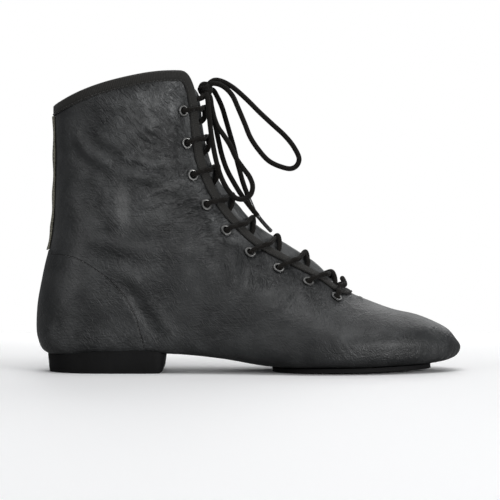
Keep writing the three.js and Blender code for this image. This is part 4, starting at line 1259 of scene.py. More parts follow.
CAMERA_HEIGHT = 0.115
CAMERA_DISTANCE = 1.6
VIEW_X = 0.0872
VIEW_Z = 0.0736
VIEW_WIDTH = 0.305
SENSOR = 36.0


class BOOT_OT_camera(bpy.types.Operator):
    """Places the camera as the photograph was taken, square to the outer side"""

    bl_idname = "boot.camera"
    bl_label = "Camera"

    def execute(self, context):
        data = bpy.data.cameras.new("Camera")
        data.sensor_width = SENSOR
        data.lens = SENSOR * CAMERA_DISTANCE / VIEW_WIDTH
        camera = bpy.data.objects.new("Camera", data)
        down = math.atan((CAMERA_HEIGHT - VIEW_Z) / CAMERA_DISTANCE)
        camera.location = (VIEW_X, -CAMERA_DISTANCE, CAMERA_HEIGHT)
        camera.rotation_euler = Euler((math.pi / 2 - down, 0, 0))
        context.scene.collection.objects.link(camera)
        context.scene.camera = camera
        return {"FINISHED"}


# Name, place, aim, size and power of the soft lights
LIGHTS = [
    ("Overhead softbox", (0.15, -0.3, 1.5), (0.08, 0, 0.05), (1.3, 1.1), 12.5),
    ("Toe side key", (1.15, -1.35, 0.42), (0.05, 0, 0.12), (0.6, 0.6), 9.5),
    ("Low toe fill", (1.25, -0.9, 0.06), (0.18, 0, 0.03), (0.5, 0.4), 9.5),
    ("Heel side fill", (-1.2, -1.5, 0.6), (0.0, 0, 0.1), (0.9, 0.9), 8.5),
    ("Back light", (0.3, 1.3, 0.9), (0.08, 0, 0.08), (1.4, 1.0), 7.5),
]
# The world's colour and strength as the boot is lit by it, and its strength as the camera sees it
SKY_COLOUR = (0.95, 0.97, 1, 1)
SKY_LIT = 0.2
SKY_SEEN = 1.0
FLOOR_SIDES = (-2.0, 2.2)
FLOOR_DEPTH = (-2.2, 0.4)
# Share of the floor's colour that it throws back on the boot
BOUNCE_SHARE = 0.35
# Where the floor gets paler and where it starts to glow, from and to, and how strongly it glows
PALER_DEPTH = (-0.15, 0.3)
FADE_DEPTH = (0.02, 0.38)
FADE_GLOW = 0.22


def floor_material(name):
    """Pale floor: paler with the distance, and darker for light that it throws back. Towards its far edge it
    glows for the camera alone, so that it fades into the background."""
    tone = colours().floor
    material, tree, shader = new_material(name, specular_ior_level=0.2, roughness=0.6, emission_strength=1.0)
    place = object_place(tree)
    depth = node(tree, "ShaderNodeSeparateXYZ", {0: place}).outputs["Y"]
    cloud = maths(tree, "MULTIPLY", noise(tree, place, 3.0), 0.06)
    paler = maths(tree, "MAXIMUM", ramp(tree, depth, FULL, PALER_DEPTH), cloud)
    seen = blend_colours(tree, paler, tone, (1, 1, 1))
    ray = node(tree, "ShaderNodeLightPath").outputs["Is Camera Ray"]
    fade = maths(tree, "MULTIPLY", ramp(tree, depth, FULL, FADE_DEPTH), ray)
    feed(tree, shader, base_color=blend_colours(tree, ray, scaled(tone, BOUNCE_SHARE), seen),
         emission_color=maths(tree, "MULTIPLY", fade, FADE_GLOW))
    return material


class BOOT_OT_stage(bpy.types.Operator):
    """Lays the pale floor and hangs the soft lights"""

    bl_idname = "boot.stage"
    bl_label = "Stage"

    def execute(self, context):
        x, y = np.meshgrid(np.linspace(*FLOOR_SIDES, 9), np.linspace(*FLOOR_DEPTH, 9), indexing="ij")
        places = np.stack([x, y, np.zeros_like(x)], -1)
        grid_piece("floor", places[:, ::-1], floor_material("Pale floor"))
        for name, place, aim, size, power in LIGHTS:
            light = bpy.data.lights.new(name, "AREA")
            light.shape = "RECTANGLE"
            light.size, light.size_y = size
            light.energy = power
            lamp = bpy.data.objects.new(name, light)
            lamp.location = place
            direction = Vector(aim) - Vector(place)
            lamp.rotation_euler = direction.to_track_quat("-Z", "Y").to_euler()
            context.scene.collection.objects.link(lamp)
        self.sky(context.scene)
        context.scene.view_settings.view_transform = "Standard"
        return {"FINISHED"}

    def sky(self, scene):
        """An even pale light all round, which the camera sees as white."""
        world = bpy.data.worlds.new("Studio")
        scene.world = world
        world.use_nodes = True
        tree = world.node_tree
        tree.nodes.clear()
        seen = node(tree, "ShaderNodeBackground", {"Color": (1, 1, 1, 1), "Strength": SKY_SEEN})
        lit = node(tree, "ShaderNodeBackground", {"Color": SKY_COLOUR, "Strength": SKY_LIT})
        ray = node(tree, "ShaderNodeLightPath").outputs["Is Camera Ray"]
        both = node(tree, "ShaderNodeMixShader", {0: ray, 1: lit.outputs[0], 2: seen.outputs[0]})
        node(tree, "ShaderNodeOutputWorld", {"Surface": both.outputs[0]}, is_active_output=True)


# Bow

def knot_turns():
    """Routes of the knot's turns round its middle: tilted rings that lie on an ellipsoid."""
    turn = np.linspace(0, 2 * math.pi, 48, endpoint=False)
    radius = sizes().lace / 2
    routes = []
    for tilt, lean, shift, share in KNOT_TURNS:
        ring = np.stack([np.cos(turn), np.zeros_like(turn), np.sin(turn)], -1)
        ring[:, 1] = shift + 0.25 * np.sin(2 * turn + tilt)
        turned = np.array(Euler((tilt, lean, tilt * 0.5)).to_matrix())
        routes.append(KNOT_CENTRE + (ring @ turned.T) * (KNOT_SIZE - radius * 0.8) * share / 0.7)
    return routes


def tip_radius(count):
    """Radius of a lace tip at even places along it: a small lip, a straight sleeve and a round end."""
    share = np.linspace(0, 1, count)
    lip = np.where(share < 0.08, TIP_LIP, 1)
    end = np.sqrt(1 - np.clip((share - 0.93) / 0.075, 0, 0.98) ** 2)
    return TIP_DIAMETER / 2 * lip * end


def inside_knot(place):
    """A place part of the way from the knot's middle to a given one, in millimetres."""
    middle = KNOT_CENTRE / MM
    return middle + (np.array(place) - middle) * KNOT_DEPTH


class BOOT_OT_bow(bpy.types.Operator):
    """Ties the bow: the knot, its two loops and the two ends with their tips"""

    bl_idname = "boot.bow"
    bl_label = "Bow"

    def execute(self, context):
        lace = sizes().lace
        knot = self.knot(lace / 2)
        tips = {}
        for name, places, end in (("tip_long", LONG_TIP, LONG_END), ("tip_short", SHORT_TIP, SHORT_END)):
            route = smooth_route(np.array([end[-1], *places], float) * MM, 40)
            tips[name] = tube_piece("lace_" + name + "_sleeve", route, tip_radius(40), material("tip"),
                                    sides=20)
            hold(tips[name], "lace_tip", "lace_" + name)
        cords = (
            ("loop_large", LARGE_LOOP, "knot", [knot]), ("loop_small", SMALL_LOOP, "knot", []),
            ("end_long", LONG_END, "fitting", [tips["tip_long"]]),
            ("end_short", SHORT_END, "fitting", [tips["tip_short"]]),
        )
        for name, places, far_end, pieces in cords:
            finish = [inside_knot(places[-1])] if far_end == "knot" else []
            places = np.array([inside_knot(places[0]), *places, *finish]) * MM
            count = int(route_lengths(smooth_route(places, 60))[-1] / (0.55 * MM))
            route = smooth_route(places, count)
            piece = tube_piece("lace_" + name + "_braid", route, lace / 2, material("lace"), sides=20)
            hold(piece, "lace", "lace_" + name)
        return {"FINISHED"}

    def knot(self, radius):
        """A core wrapped in tilted turns of the lace, joined in one mesh."""
        points, faces, start = [], [], 0
        turn = np.linspace(0, 2 * math.pi, 32, endpoint=False)
        rise = np.linspace(-math.pi / 2, math.pi / 2, 17)
        core = np.stack([np.cos(rise)[:, None] * np.cos(turn), np.cos(rise)[:, None] * np.sin(turn),
                         np.repeat(np.sin(rise)[:, None], 32, 1)], -1) * KNOT_SIZE * KNOT_CORE + KNOT_CENTRE
        grids = [(core, False)]
        for route in knot_turns():
            closed = np.vstack([route[-1], route, route[0]])
            grids.append((tube_grid(closed, radius, 14, (0.2, 1, 0.1))[1:-1], True))
        for grid, along in grids:
            corners, _ = grid_faces(*grid.shape[:2], around=True, along=along)
            faces += (corners + start).tolist()
            points.append(grid.reshape(-1, 3))
            start += len(points[-1])
        turns = np.concatenate(points)
        corners = np.array([c for quad in faces for c in quad])
        around = turns[corners] - KNOT_CENTRE
        pairs = np.stack([np.arctan2(around[:, 0], around[:, 2]) / math.pi, around[:, 1] / (6 * radius)], -1)
        piece = mesh_piece("lace_knot_turns", turns, faces, material("lace"), uv=pairs, closed=True)
        return hold(piece, "lace", "lace_knot")


# Lace through the eyelets

def lace_places():
    """Places that the lace runs through, from one end of the knot to the other, with its radius and the
    direction along the throat: out of each eyelet, over the edge, across, under the far edge, and up
    through the next eyelet down."""
    size = sizes()
    full = size.lace / 2
    wall = size.wall
    over_binding = BINDING_GAP + BINDING_THICKNESS + 2 * GAP + full
    in_throat = THROAT_HALF_GAP - BINDING_GAP - BINDING_THICKNESS - 2 * GAP - full
    over_rim = EYELET_SEAT + EYELET_RIM_HEIGHT + full * 0.7
    under = -wall - 1.5 * MM
    stations = eyelet_stations()

    def between(k, share):
        """A station part of the way from one row of eyelets to the next one down."""
        return stations[k] + (stations[k + 1] - stations[k]) * share

    def beside(station, inset):
        """An angle part of the way from the throat's edge to the eyelets' line."""
        station = np.array(float(station))
        return throat_angle(station) + (eyelet_angle(station) - throat_angle(station)) * inset

    def out_of_eyelet(side, k):
        """Up through an eyelet, over its rim, and slanting down to the throat's ribbon."""
        s = stations[k]
        pitch = stations[k + 1] - s if k + 1 < EYELETS_A_SIDE else 0.0
        hole = on_side(side, eyelet_angle(np.array(s)))
        slant = STRAND_SLANTS[k] * pitch
        steps = [(s + 0.22 * slant, 0.78, over_rim), (s + 0.55 * slant, 0.45, full + 0.4 * MM),
                 (s + 0.8 * slant, 0.2, over_binding - 0.45 * MM)]
        return [(s, hole, under, LACE_IN_EYELET), (s, hole, -0.4 * MM, LACE_IN_MOUTH)] + [
            (place, on_side(side, beside(place, inset)), height, 1) for place, inset, height in steps]

    def strand(side, k, lift):
        """From an eyelet across the throat and under its far edge, beside the next eyelet down."""
        edge, middle = between(k, STRAND_SLANTS[k]), between(k, STRAND_SLANTS[k] + STRAND_ACROSS)
        end, below = between(k, STRAND_FAR_EDGE), between(k, STRAND_BELOW)
        far = 1 - side
        return out_of_eyelet(side, k) + [
            (edge, on_side(side, throat_angle(np.array(edge))), over_binding - 0.4 * MM, 1),
            (middle, 0.0, CROSSING_HEIGHT + lift, LACE_CROSSING),
            (end, on_side(far, angle_for_reach(end, in_throat)), DIP_HEIGHT - 0.4 * MM, LACE_CROSSING),
            (below, on_side(far, beside(below, STRAND_INSET)), under, LACE_IN_EYELET),
        ]

    def tie(side):
        """From the knot down into the throat and under its edge, beside the first eyelet."""
        station = between(0, TIE_STATION)
        inset = on_side(side, beside(stations[0], STRAND_INSET))
        return [(station, on_side(side, angle_for_reach(station, in_throat)), DIP_HEIGHT, 1),
                (stations[0] + 0.04, inset, under, LACE_IN_EYELET)]

    last = EYELETS_A_SIDE - 1
    bar_edge = stations[last] - 0.12
    down, up = [], []
    for k in range(last):
        down += strand(k % 2, k, STRAND_OVER)
        up += strand(1 - k % 2, k, STRAND_UNDER)
    bar, other = (out_of_eyelet(side, last) + [
        (bar_edge, on_side(side, throat_angle(np.array(bar_edge))), over_binding, 1)]
        for side in (last % 2, 1 - last % 2))
    middle = [(THROAT_END + 0.3, 0.0, over_binding, 1)]
    run = tie(0) + down + bar + middle + other[::-1] + up[::-1] + tie(1)[::-1]
    station, angle, height, share = (np.array([float(item[n]) for item in run]) for n in range(4))
    places = face(station, angle, height)
    axis = unit(slopes(station, np.zeros_like(station))[0])
    flat = normals(station, np.zeros_like(station))
    on_bar = np.arange(len(run))
    first = len(tie(0) + down) + 4
    near_bar = (on_bar >= first) & (on_bar < first + 5)
    axis = np.where(near_bar[:, None], flat, axis)
    ends = np.array([[KNOT_CENTRE[0] - 1.8 * MM, side * 1.2 * MM, KNOT_CENTRE[2] - KNOT_SIZE[2] * 0.6]
                     for side in (-1, 1)])
    places = np.vstack([ends[:1], places, ends[1:]])
    axis = np.vstack([axis[:1], axis, axis[-1:]])
    share = np.concatenate([[1], share, [1]])
    return np.hstack([places, full * share[:, None], axis])


class BOOT_OT_lacing(bpy.types.Operator):
    """Runs the lace through the eyelets, crossing over the tongue"""

    bl_idname = "boot.lacing"
    bl_label = "Lacing"

    def execute(self, context):
        places = lace_places()
        line = places[:, :3]
        fine = smooth_route(line, 1500)
        nearest = np.argmin(np.linalg.norm(fine[None] - line[:, None], axis=-1), axis=1)
        nearest = np.maximum.accumulate(nearest)
        spots = np.arange(len(fine))
        thick = np.interp(spots, nearest, places[:, 3])
        axis = unit(np.stack([np.interp(spots, nearest, places[:, 4 + n]) for n in range(3)], -1))
        piece = tube_piece("lace_through_eyelets", fine, thick, material("lace"), sides=14, axis=axis)
        crossings = ["lace_crossing_" + str(k + 1) for k in range(EYELETS_A_SIDE - 1)]
        hold(piece, "lace", *crossings, "lace_bar", "lace_ties")
        return {"FINISHED"}


class BOOT_OT_eyelets(bpy.types.Operator):
    """Sets the rolled rings of the eyelets"""

    bl_idname = "boot.eyelets"
    bl_label = "Eyelets"

    def execute(self, context):
        wall = sizes().wall
        dome = np.linspace(0, math.pi, 17)
        middle = (EYELET_BORE + EYELET_RIM) / 2
        half = (EYELET_RIM - EYELET_BORE) / 2
        profile = [(EYELET_BORE + 0.02 * MM, -wall - EYELET_TAIL), (EYELET_BORE, EYELET_SEAT)]
        profile += [(middle - half * math.cos(t), EYELET_SEAT + EYELET_RIM_HEIGHT * math.sin(t))
                    for t in dome]
        profile += [(EYELET_RIM - 0.1 * MM, EYELET_SEAT - 0.18 * MM),
                    (EYELET_BARREL, EYELET_SEAT - 0.12 * MM),
                    (EYELET_BARREL, -wall - EYELET_TAIL * 0.5),
                    (EYELET_BARREL + 0.35 * MM, -wall - EYELET_TAIL)]
        radius, height = np.array(profile).T
        # Painted glint: a thin bright ring on the rim's rounded top, which takes the metallic colour
        bright = np.exp(-((radius - GLINT_RADIUS) / GLINT_WIDTH) ** 2) * (height > 0)
        turn = np.linspace(0, 2 * math.pi, 48, endpoint=False)
        glint = np.repeat(bright[:, None], len(turn), 1)
        stations = eyelet_stations()
        angle = eyelet_angle(stations)
        for side, word in enumerate(("outer", "inner")):
            centres = face(stations, on_side(side, angle))
            ups = normals(stations, on_side(side, angle))
            alongs = unit(slopes(stations, on_side(side, angle))[0])
            for number in range(EYELETS_A_SIDE):
                up, along = ups[number], alongs[number]
                across = np.cross(up, along)
                ring = along * np.cos(turn)[:, None] + across * np.sin(turn)[:, None]
                grid = centres[number] + radius[:, None, None] * ring[None] + height[:, None, None] * up
                name = f"ring_{word}_{number + 1}"
                piece = grid_piece(name, grid, material("ring"), around=True, along=True, closed=True,
                                   values={"glint": glint})
                hold(piece, "eyelet", f"eyelet_{word}_{number + 1}")
        return {"FINISHED"}


# Upper and lining

def even_stations(count):
    """Stations whose rows are evenly spaced down the side of the boot, with more at the throat's end."""
    fine = np.linspace(0, TOP, 1200)
    length = route_lengths(surface(fine, np.full_like(fine, 1.75)))
    even = np.interp(np.linspace(0, length[-1], count), length, fine)
    bend = THROAT_END + throat_ramp() * (1 - np.cos(np.linspace(0, math.pi / 2, 9)))
    both = np.sort(np.concatenate([even, bend]))
    return both[np.concatenate([[True], np.diff(both) > 0.004])]


def wall_grid(counts, height):
    """A grid over the whole upper at a height above its face, with its smooth points."""
    rows, columns = counts
    base = even_stations(rows)[:, None]
    share = np.linspace(0, 1, columns)[None]
    base, share = np.broadcast_arrays(base, share)
    station = squeezed(base, share)
    angle = column_angle(station, share)
    smooth = surface(station, angle)
    lifted = height + relief(smooth)
    return smooth + normals(station, angle) * lifted[..., None], smooth


def away_from_eyelets(grid, radius):
    """Which faces of a grid lie clear of the eyelets' holes."""
    centre = (grid[:-1, :-1] + grid[1:, :-1] + grid[1:, 1:] + grid[:-1, 1:]).reshape(-1, 3) / 4
    clear = np.ones(len(centre), bool)
    for place in eyelet_centres().reshape(-1, 3):
        clear &= np.linalg.norm(centre - place, axis=1) > radius
    return clear


def crease_masks(points):
    """How strongly the fine creases show: those that fall towards the upper eyelets, those that lie level
    beside the middle ones, and the steep ones below the last. The first two also set how much lighter
    the leather is painted beside the lacing, as a painted highlight."""
    x, z = points[..., 0], points[..., 2]
    distance, along = distance_to_route(x, z, eyelet_centres()[0][:, [0, 2]])
    reach = np.interp(along, (0, 0.25, 0.5, 1), np.array((34, 28, 20, 13)) * MM)
    near = np.exp(-(distance / reach) ** 2)
    patches = 0.55 + 0.45 * soft_noise(points, 9 * MM, 8)
    plain = 0.10 + 0.08 * soft_noise(points, 16 * MM, 9)
    shares = {"falling": ((0, 0.2, 0.4), (1, 1, 0)), "level": ((0.12, 0.3, 0.5, 0.62), (0, 1, 0.9, 0)),
              "steep": ((0.5, 0.7, 1), (0, 1, 0.7))}
    return {title: near * np.interp(along, *table) * patches + plain * (title != "steep")
            for title, table in shares.items()}


def edge_distance(points):
    """Distance of each point from the inner edge of the throat's ribbon."""
    _, _, _, lip, line, (first, last) = edge_frame()
    beside = np.r_[0:first + 2, last - 2:len(line)]
    lip, line = lip[beside], line[beside]
    flat = points.reshape(-1, 3)
    distance = np.full(len(flat), 1.0)
    for start in range(0, len(line), 40):
        part = np.linalg.norm(flat[:, None] - line[None, start:start + 40], axis=-1) - lip[start:start + 40]
        distance = np.minimum(distance, part.min(1))
    return distance.reshape(points.shape[:-1])


class BOOT_OT_upper(bpy.types.Operator):
    """Lays the leather over the last with its folds, and the lining inside it"""

    bl_idname = "boot.upper"
    bl_label = "Upper"

    def execute(self, context):
        grid, smooth = wall_grid(LEATHER_GRID, 0.0)
        values = crease_masks(smooth)
        # The distances from the ribbon's edge and from the counter's seam place the leather's painted shadow
        # lines
        values["edge"] = edge_distance(smooth)
        values["seam"] = counter_inside(smooth[..., 0], smooth[..., 2])
        piece = grid_piece("upper_leather", grid, material("leather"),
                           keep=away_from_eyelets(smooth, EYELET_CUT), values=values)
        hold(piece, "leather", "upper")
        grid, smooth = wall_grid(LINING_GRID, -LINING_DEPTH)
        lining = grid_piece("upper_lining", grid, material("lining"),
                            keep=away_from_eyelets(smooth, EYELET_BARREL))
        thicken(lining, sizes().wall - LINING_DEPTH)
        hold(lining, "lining")
        return {"FINISHED"}


class BOOT_OT_tongue(bpy.types.Operator):
    """Lays the tongue under the throat, swelling up between its edges"""

    bl_idname = "boot.tongue"
    bl_label = "Tongue"

    def execute(self, context):
        depth = sizes().wall + BINDING_GAP + BINDING_THICKNESS + 3 * GAP
        start = THROAT_END - TONGUE_UNDER_VAMP / station_length(THROAT_END - 0.3)
        rows, columns = TONGUE_GRID
        station, side = np.meshgrid(np.linspace(start, TONGUE_TOP, rows), np.linspace(-1, 1, columns),
                                    indexing="ij")
        share = (station - start) / (TONGUE_TOP - start)
        ends = 1 - 0.2 * np.clip((np.abs(2 * share - 1) - 0.95) / 0.05, 0, 1) ** 2
        reach = TONGUE_HALF_WIDTH * ends * side
        swell_half = THROAT_HALF_GAP - 3 * (GAP + BINDING_THICKNESS)
        rise = np.clip(station - THROAT_END - throat_ramp(), 0, 1)
        fade = np.clip((14 - station) / 3, 0, 1)
        swell = TONGUE_BULGE * rise * fade * np.maximum(1 - (reach / swell_half) ** 2, 0)
        angle = angle_for_reach(station, np.abs(reach))
        angle = np.where(side > 0, angle, -angle)
        smooth = surface(station, angle)
        waves = slow_waves(smooth, TONGUE_WAVES)
        tucked = -0.7 * MM * np.clip((np.abs(reach) - swell_half) / (3 * MM), 0, 1)
        lean = np.clip((station - TONGUE_LEAN_START) / (TONGUE_TOP - TONGUE_LEAN_START), 0, 1)
        tucked = tucked - TONGUE_LEAN * lean ** 2
        inside = np.maximum(1 - (reach / (THROAT_HALF_GAP * 1.1)) ** 2, 0)
        grid = smooth + normals(station, angle) * (swell - depth + waves * inside + tucked)[..., None]
        piece = grid_piece("tongue_leather", grid[:, ::-1], material("tongue_leather"))
        thicken(piece, TONGUE_THICKNESS - 0.3 * MM)
        hold(piece, "leather", "tongue")
        return {"FINISHED"}


# Binding, back strip and seams

def edge_path():
    """Stations and angles along the edge: up the outer side of the throat, round the collar, and back."""
    turn = np.linspace(0, math.pi / 2, 14)[:-1]
    bend = THROAT_END + throat_ramp() * (1 - np.cos(turn))
    corner = float(collar_station(np.array(0.0)))
    rise = np.linspace(THROAT_END + throat_ramp(), corner, 150)[:-1]
    up = np.concatenate([bend, rise])
    shares = np.linspace(0, 0.5, 4000)
    reach = corner_distance(shares)
    quarter = CORNER_RADIUS * (1 - np.cos(np.linspace(0, math.pi / 2, 12)))
    round_shares = np.interp(quarter, reach, shares)
    back_shares = np.interp(np.linspace(CORNER_RADIUS, reach[-1], 75)[1:], reach, shares)
    half = np.concatenate([round_shares, back_shares])
    half[-1] = 0.5
    collar = collar_station(half)
    station = np.concatenate([up, collar, collar[-2::-1], up[:0:-1]])
    outer = np.concatenate([throat_angle(up), column_angle(collar, half)])
    angle = np.concatenate([outer, 2 * math.pi - outer[-2:0:-1]])
    return station, angle, (len(up), len(station) - len(up) + 1)


def shifted(station, angle, move):
    """Places on the face moved by short vectors that lie along it, by the face's own metric."""
    along, around = slopes(station, angle)
    aa, ab, bb = dot(along, along), dot(along, around), dot(around, around)
    ma, mb = dot(move, along), dot(move, around)
    size = aa * bb - ab * ab
    return station + (bb * ma - ab * mb) / size, angle + (aa * mb - ab * ma) / size


def edge_frame():
    """The path of the edge with its inward direction and the ribbon's width there, its points, and where
    the collar starts and ends in it."""
    station, angle, (first, last) = edge_path()
    line = surface(station, angle)
    ahead = np.roll(line, -1, 0) - np.roll(line, 1, 0)
    inward = unit(np.cross(normals(station, angle), ahead))
    index = np.arange(len(station))
    ease = np.clip((index - first + 4) / 12, 0, 1) * np.clip((last + 4 - index) / 12, 0, 1)
    ease = ease * ease * (3 - 2 * ease)
    size = sizes()
    lip = size.throat_lip + (size.collar_lip - size.throat_lip) * ease
    return station, angle, inward, lip, line, (first, last)


def beside_edge(station, angle, inward, distance, height):
    """Points at a distance inside the edge and a height above the leather."""
    s, a = shifted(station, angle, inward * np.asarray(distance)[:, None])
    base = surface(s, a)
    return base + normals(s, a) * (height + relief(base))[:, None]


class BOOT_OT_binding(bpy.types.Operator):
    """Folds the ribbon over the collar and the throat, with its stitches"""

    bl_idname = "boot.binding"
    bl_label = "Binding"

    def execute(self, context):
        station, angle, inward, lip, line, _ = edge_frame()
        wall = sizes().wall
        out = BINDING_GAP + BINDING_THICKNESS
        fold = np.linspace(-math.pi / 2, math.pi / 2, 9)
        outer = [(1.0, 0, out * 0.82), (0.97, 0, out), (0.5, 0, out * 1.06)]
        outer += [(0, 0.1 * MM - out * math.cos(t), -wall / 2 - (wall / 2 + out) * math.sin(t))
                  for t in fold]
        outer += [(0.5, 0, -wall - out), (0.97, 0, -wall - out), (1.0, 0, -wall - out * 0.82)]
        inner = [(share, 0, -wall - BINDING_GAP) for share in (1.0, 0.5, 0)]
        inner += [(0, 0, BINDING_GAP), (0.5, 0, BINDING_GAP), (1.0, 0, BINDING_GAP * 0.6)]
        profile = outer + inner
        columns = [beside_edge(station, angle, inward, share * lip + away, height)
                   for share, away, height in profile]
        grid = np.stack(columns, 1)
        v = np.append(route_lengths(line), 0)
        v[-1] = v[-2] + np.linalg.norm(line[0] - line[-1])
        across = route_lengths(grid[len(grid) // 2])
        u = np.append(across, across[-1] + 1 * MM)
        piece = grid_piece("collar_binding_ribbon", grid, material("ribbon"), around=True, along=True,
                           uv=(u, v), closed=True)
        hold(piece, "ribbon", "collar_binding")
        row = beside_edge(station, angle, inward, lip - 0.75 * MM, out * 1.03)
        row = np.vstack([row, row[:1]])
        places, ahead = spaced(row, sizes().stitch_pitch)
        ups = normals(station, angle)
        ups = np.vstack([ups, ups[:1]])
        nearest = nearest_rows(places, row)
        stitches = stitch_row("binding_stitches", places, ahead, ups[nearest],
                              sizes().stitch_pitch * STITCH_SHARE, material("dark_thread"))
        hold(stitches, "ribbon")
        return {"FINISHED"}


class BOOT_OT_back_strip(bpy.types.Operator):
    """Sews the strip over the seam at the back of the shaft"""

    bl_idname = "boot.back_strip"
    bl_label = "Back strip"

    def execute(self, context):
        size = sizes()
        top = TOP - (size.collar_lip + GAP) / np.linalg.norm(slopes(TOP - 0.3, math.pi)[0])
        rows, columns = STRIP_GRID
        station, side = np.meshgrid(np.linspace(STRIP_LOW_END, top, rows), np.linspace(-1, 1, columns),
                                    indexing="ij")
        # Its edges run a little unevenly, and it puckers between its two rows of stitches
        uneven = 0.92 + 0.05 * np.sin(station * 5.1) + 0.03 * np.sin(station * 13)
        reach = STRIP_REACH * side * uneven
        angle = angle_for_reach(station, np.abs(reach), behind=True)
        angle = np.where(side > 0, 2 * math.pi - angle, angle)
        crown = STRIP_CROWN * np.sqrt(1 - 0.93 * np.abs(side) ** 3)
        crown = crown + 0.3 * MM * np.sin(station * 7.3) * (1 - side ** 2)
        grid = face(station, angle, GAP + crown)
        v = route_lengths(grid[:, columns // 2])
        u = route_lengths(grid[rows // 2])
        piece = grid_piece("back_strip_ribbon", grid, material("strip"), uv=(u, v))
        thicken(piece, 0.5 * STRIP_CROWN)
        hold(piece, "ribbon", "back_strip")
        places, aheads, ups = [], [], []
        for column in (1, columns - 2):
            spots, ahead = spaced(grid[:, column], size.stitch_pitch)
            places.append(spots)
            aheads.append(ahead)
            ups.append(normals(station, angle)[nearest_rows(spots, grid[:, column]), column])
        # The black-thread stitches near both edges are real stitching and also stand in for the painted
        # shadow line along the strip's edges
        stitches = stitch_row("back_strip_stitches", np.vstack(places), np.vstack(aheads), np.vstack(ups),
                              size.stitch_pitch * STITCH_SHARE, material("dark_thread"))
        hold(stitches, "ribbon")
        return {"FINISHED"}


def place_on_side(x, z, side):
    """Stations and angles of places given by x and z, by Newton steps from a coarse search."""
    station, angle = np.meshgrid(np.linspace(1, TOP - 0.2, 90), np.linspace(0.15, math.pi - 0.1, 60),
                                 indexing="ij")
    angle = on_side(side, angle)
    coarse = surface(station, angle)
    gap = np.hypot(coarse[None, ..., 0] - x[:, None, None], coarse[None, ..., 2] - z[:, None, None])
    best = gap.reshape(len(x), -1).argmin(1)
    s, a = station.ravel()[best], angle.ravel()[best]
    for _ in range(6):
        at = surface(s, a)
        along, around = slopes(s, a)
        size = along[:, 0] * around[:, 2] - along[:, 2] * around[:, 0]
        dx, dz = x - at[:, 0], z - at[:, 2]
        s = s + np.clip((around[:, 2] * dx - around[:, 0] * dz) / size, -0.3, 0.3)
        a = a + np.clip((along[:, 0] * dz - along[:, 2] * dx) / size, -0.3, 0.3)
    return s, a


class BOOT_OT_seams(bpy.types.Operator):
    """Sews the counter's seam on both sides and the small tack on the vamp"""

    bl_idname = "boot.seams"
    bl_label = "Seams"

    def execute(self, context):
        pitch = sizes().stitch_pitch
        for side, word in enumerate(("outer", "inner")):
            route = smooth_route(np.array(COUNTER_SEAM)[1:] * MM, 90)
            station, angle = place_on_side(route[:, 0], route[:, 1], side)
            self.sew(f"counter_seam_{word}", station, angle, pitch, material("thread"))
        for number, shift in enumerate((0.0, 1.1)):
            route = smooth_route((np.array(VAMP_TACK) + (0, -shift)) * MM, 12)
            station, angle = place_on_side(route[:, 0], route[:, 1], 0)
            self.sew(f"vamp_tack_{number + 1}", station, angle, pitch * 0.6, material("dark_thread"))
        return {"FINISHED"}

    def sew(self, name, station, angle, pitch, thread):
        """Stitches along stations and angles, seated on the leather."""
        row = skin(station, angle, -0.02 * MM)
        places, ahead = spaced(row, pitch)
        ups = normals(station, angle)[nearest_rows(places, row)]
        piece = stitch_row(name, places, ahead, ups, pitch * 0.66, thread)
        hold(piece, "leather")


# Underfoot pieces

def pad_grid(start, end, reach_at, counts):
    """A pad's places: rows bunched at its two ends, and columns across as shares of its half width."""
    rows, columns = counts
    turn = np.linspace(0, math.pi, rows)
    station = (start + (end - start) * (1 - np.cos(turn)) / 2)[:, None]
    side = np.sin(np.linspace(-math.pi / 2, math.pi / 2, columns))[None]
    station, side = np.broadcast_arrays(station, side)
    angle = angle_for_reach(station, reach_at(station) * np.abs(side), behind=True)
    return station, np.where(side > 0, 2 * math.pi - angle, angle)


def rounded_reach(start, end, widest, power):
    """A half width that closes roundly at both ends: one less a power of the place, and its root."""
    def reach(station):
        place = np.clip((2 * station - start - end) / (end - start), -1, 1)
        return widest(station) * np.maximum(1 - np.abs(place) ** power, 0) ** (1 / power)
    return reach


def half_width_at(station):
    """Widest reach of a section."""
    return outline_at(section_at(np.asarray(station, float)), np.full(np.shape(station), math.pi / 2))[1]


def station_for_back(x):
    """The station whose back point has that x."""
    stations = np.linspace(9, 15, 2000)
    places = surface(stations, np.full_like(stations, math.pi))[:, 0]
    return float(np.interp(-x, -places, stations))


def heel_reach_at(station):
    """Half the width of the heel: round behind, nearly straight beside, and rounded at the breast."""
    x = surface(station, np.full(np.shape(station), math.pi))[..., 0]
    place = np.clip((x + HEEL_LENGTH / 2) / HEEL_LENGTH, 0, 1)
    back = np.minimum(place / HEEL_WIDEST, 1)
    front = np.maximum((place - HEEL_WIDEST) / (1 - HEEL_WIDEST), 0)
    corner = np.clip((place - HEEL_ROUNDING) / (1 - HEEL_ROUNDING), 0, 1)
    rounding = HEEL_BREAST_CORNER + (1 - HEEL_BREAST_CORNER) * np.sqrt(1 - corner ** 2)
    straight = 1 - HEEL_BREAST_NARROWING * front ** 2
    return HEEL_BLOCK_WIDTH / 2 * np.sqrt(back * (2 - back)) * straight * rounding


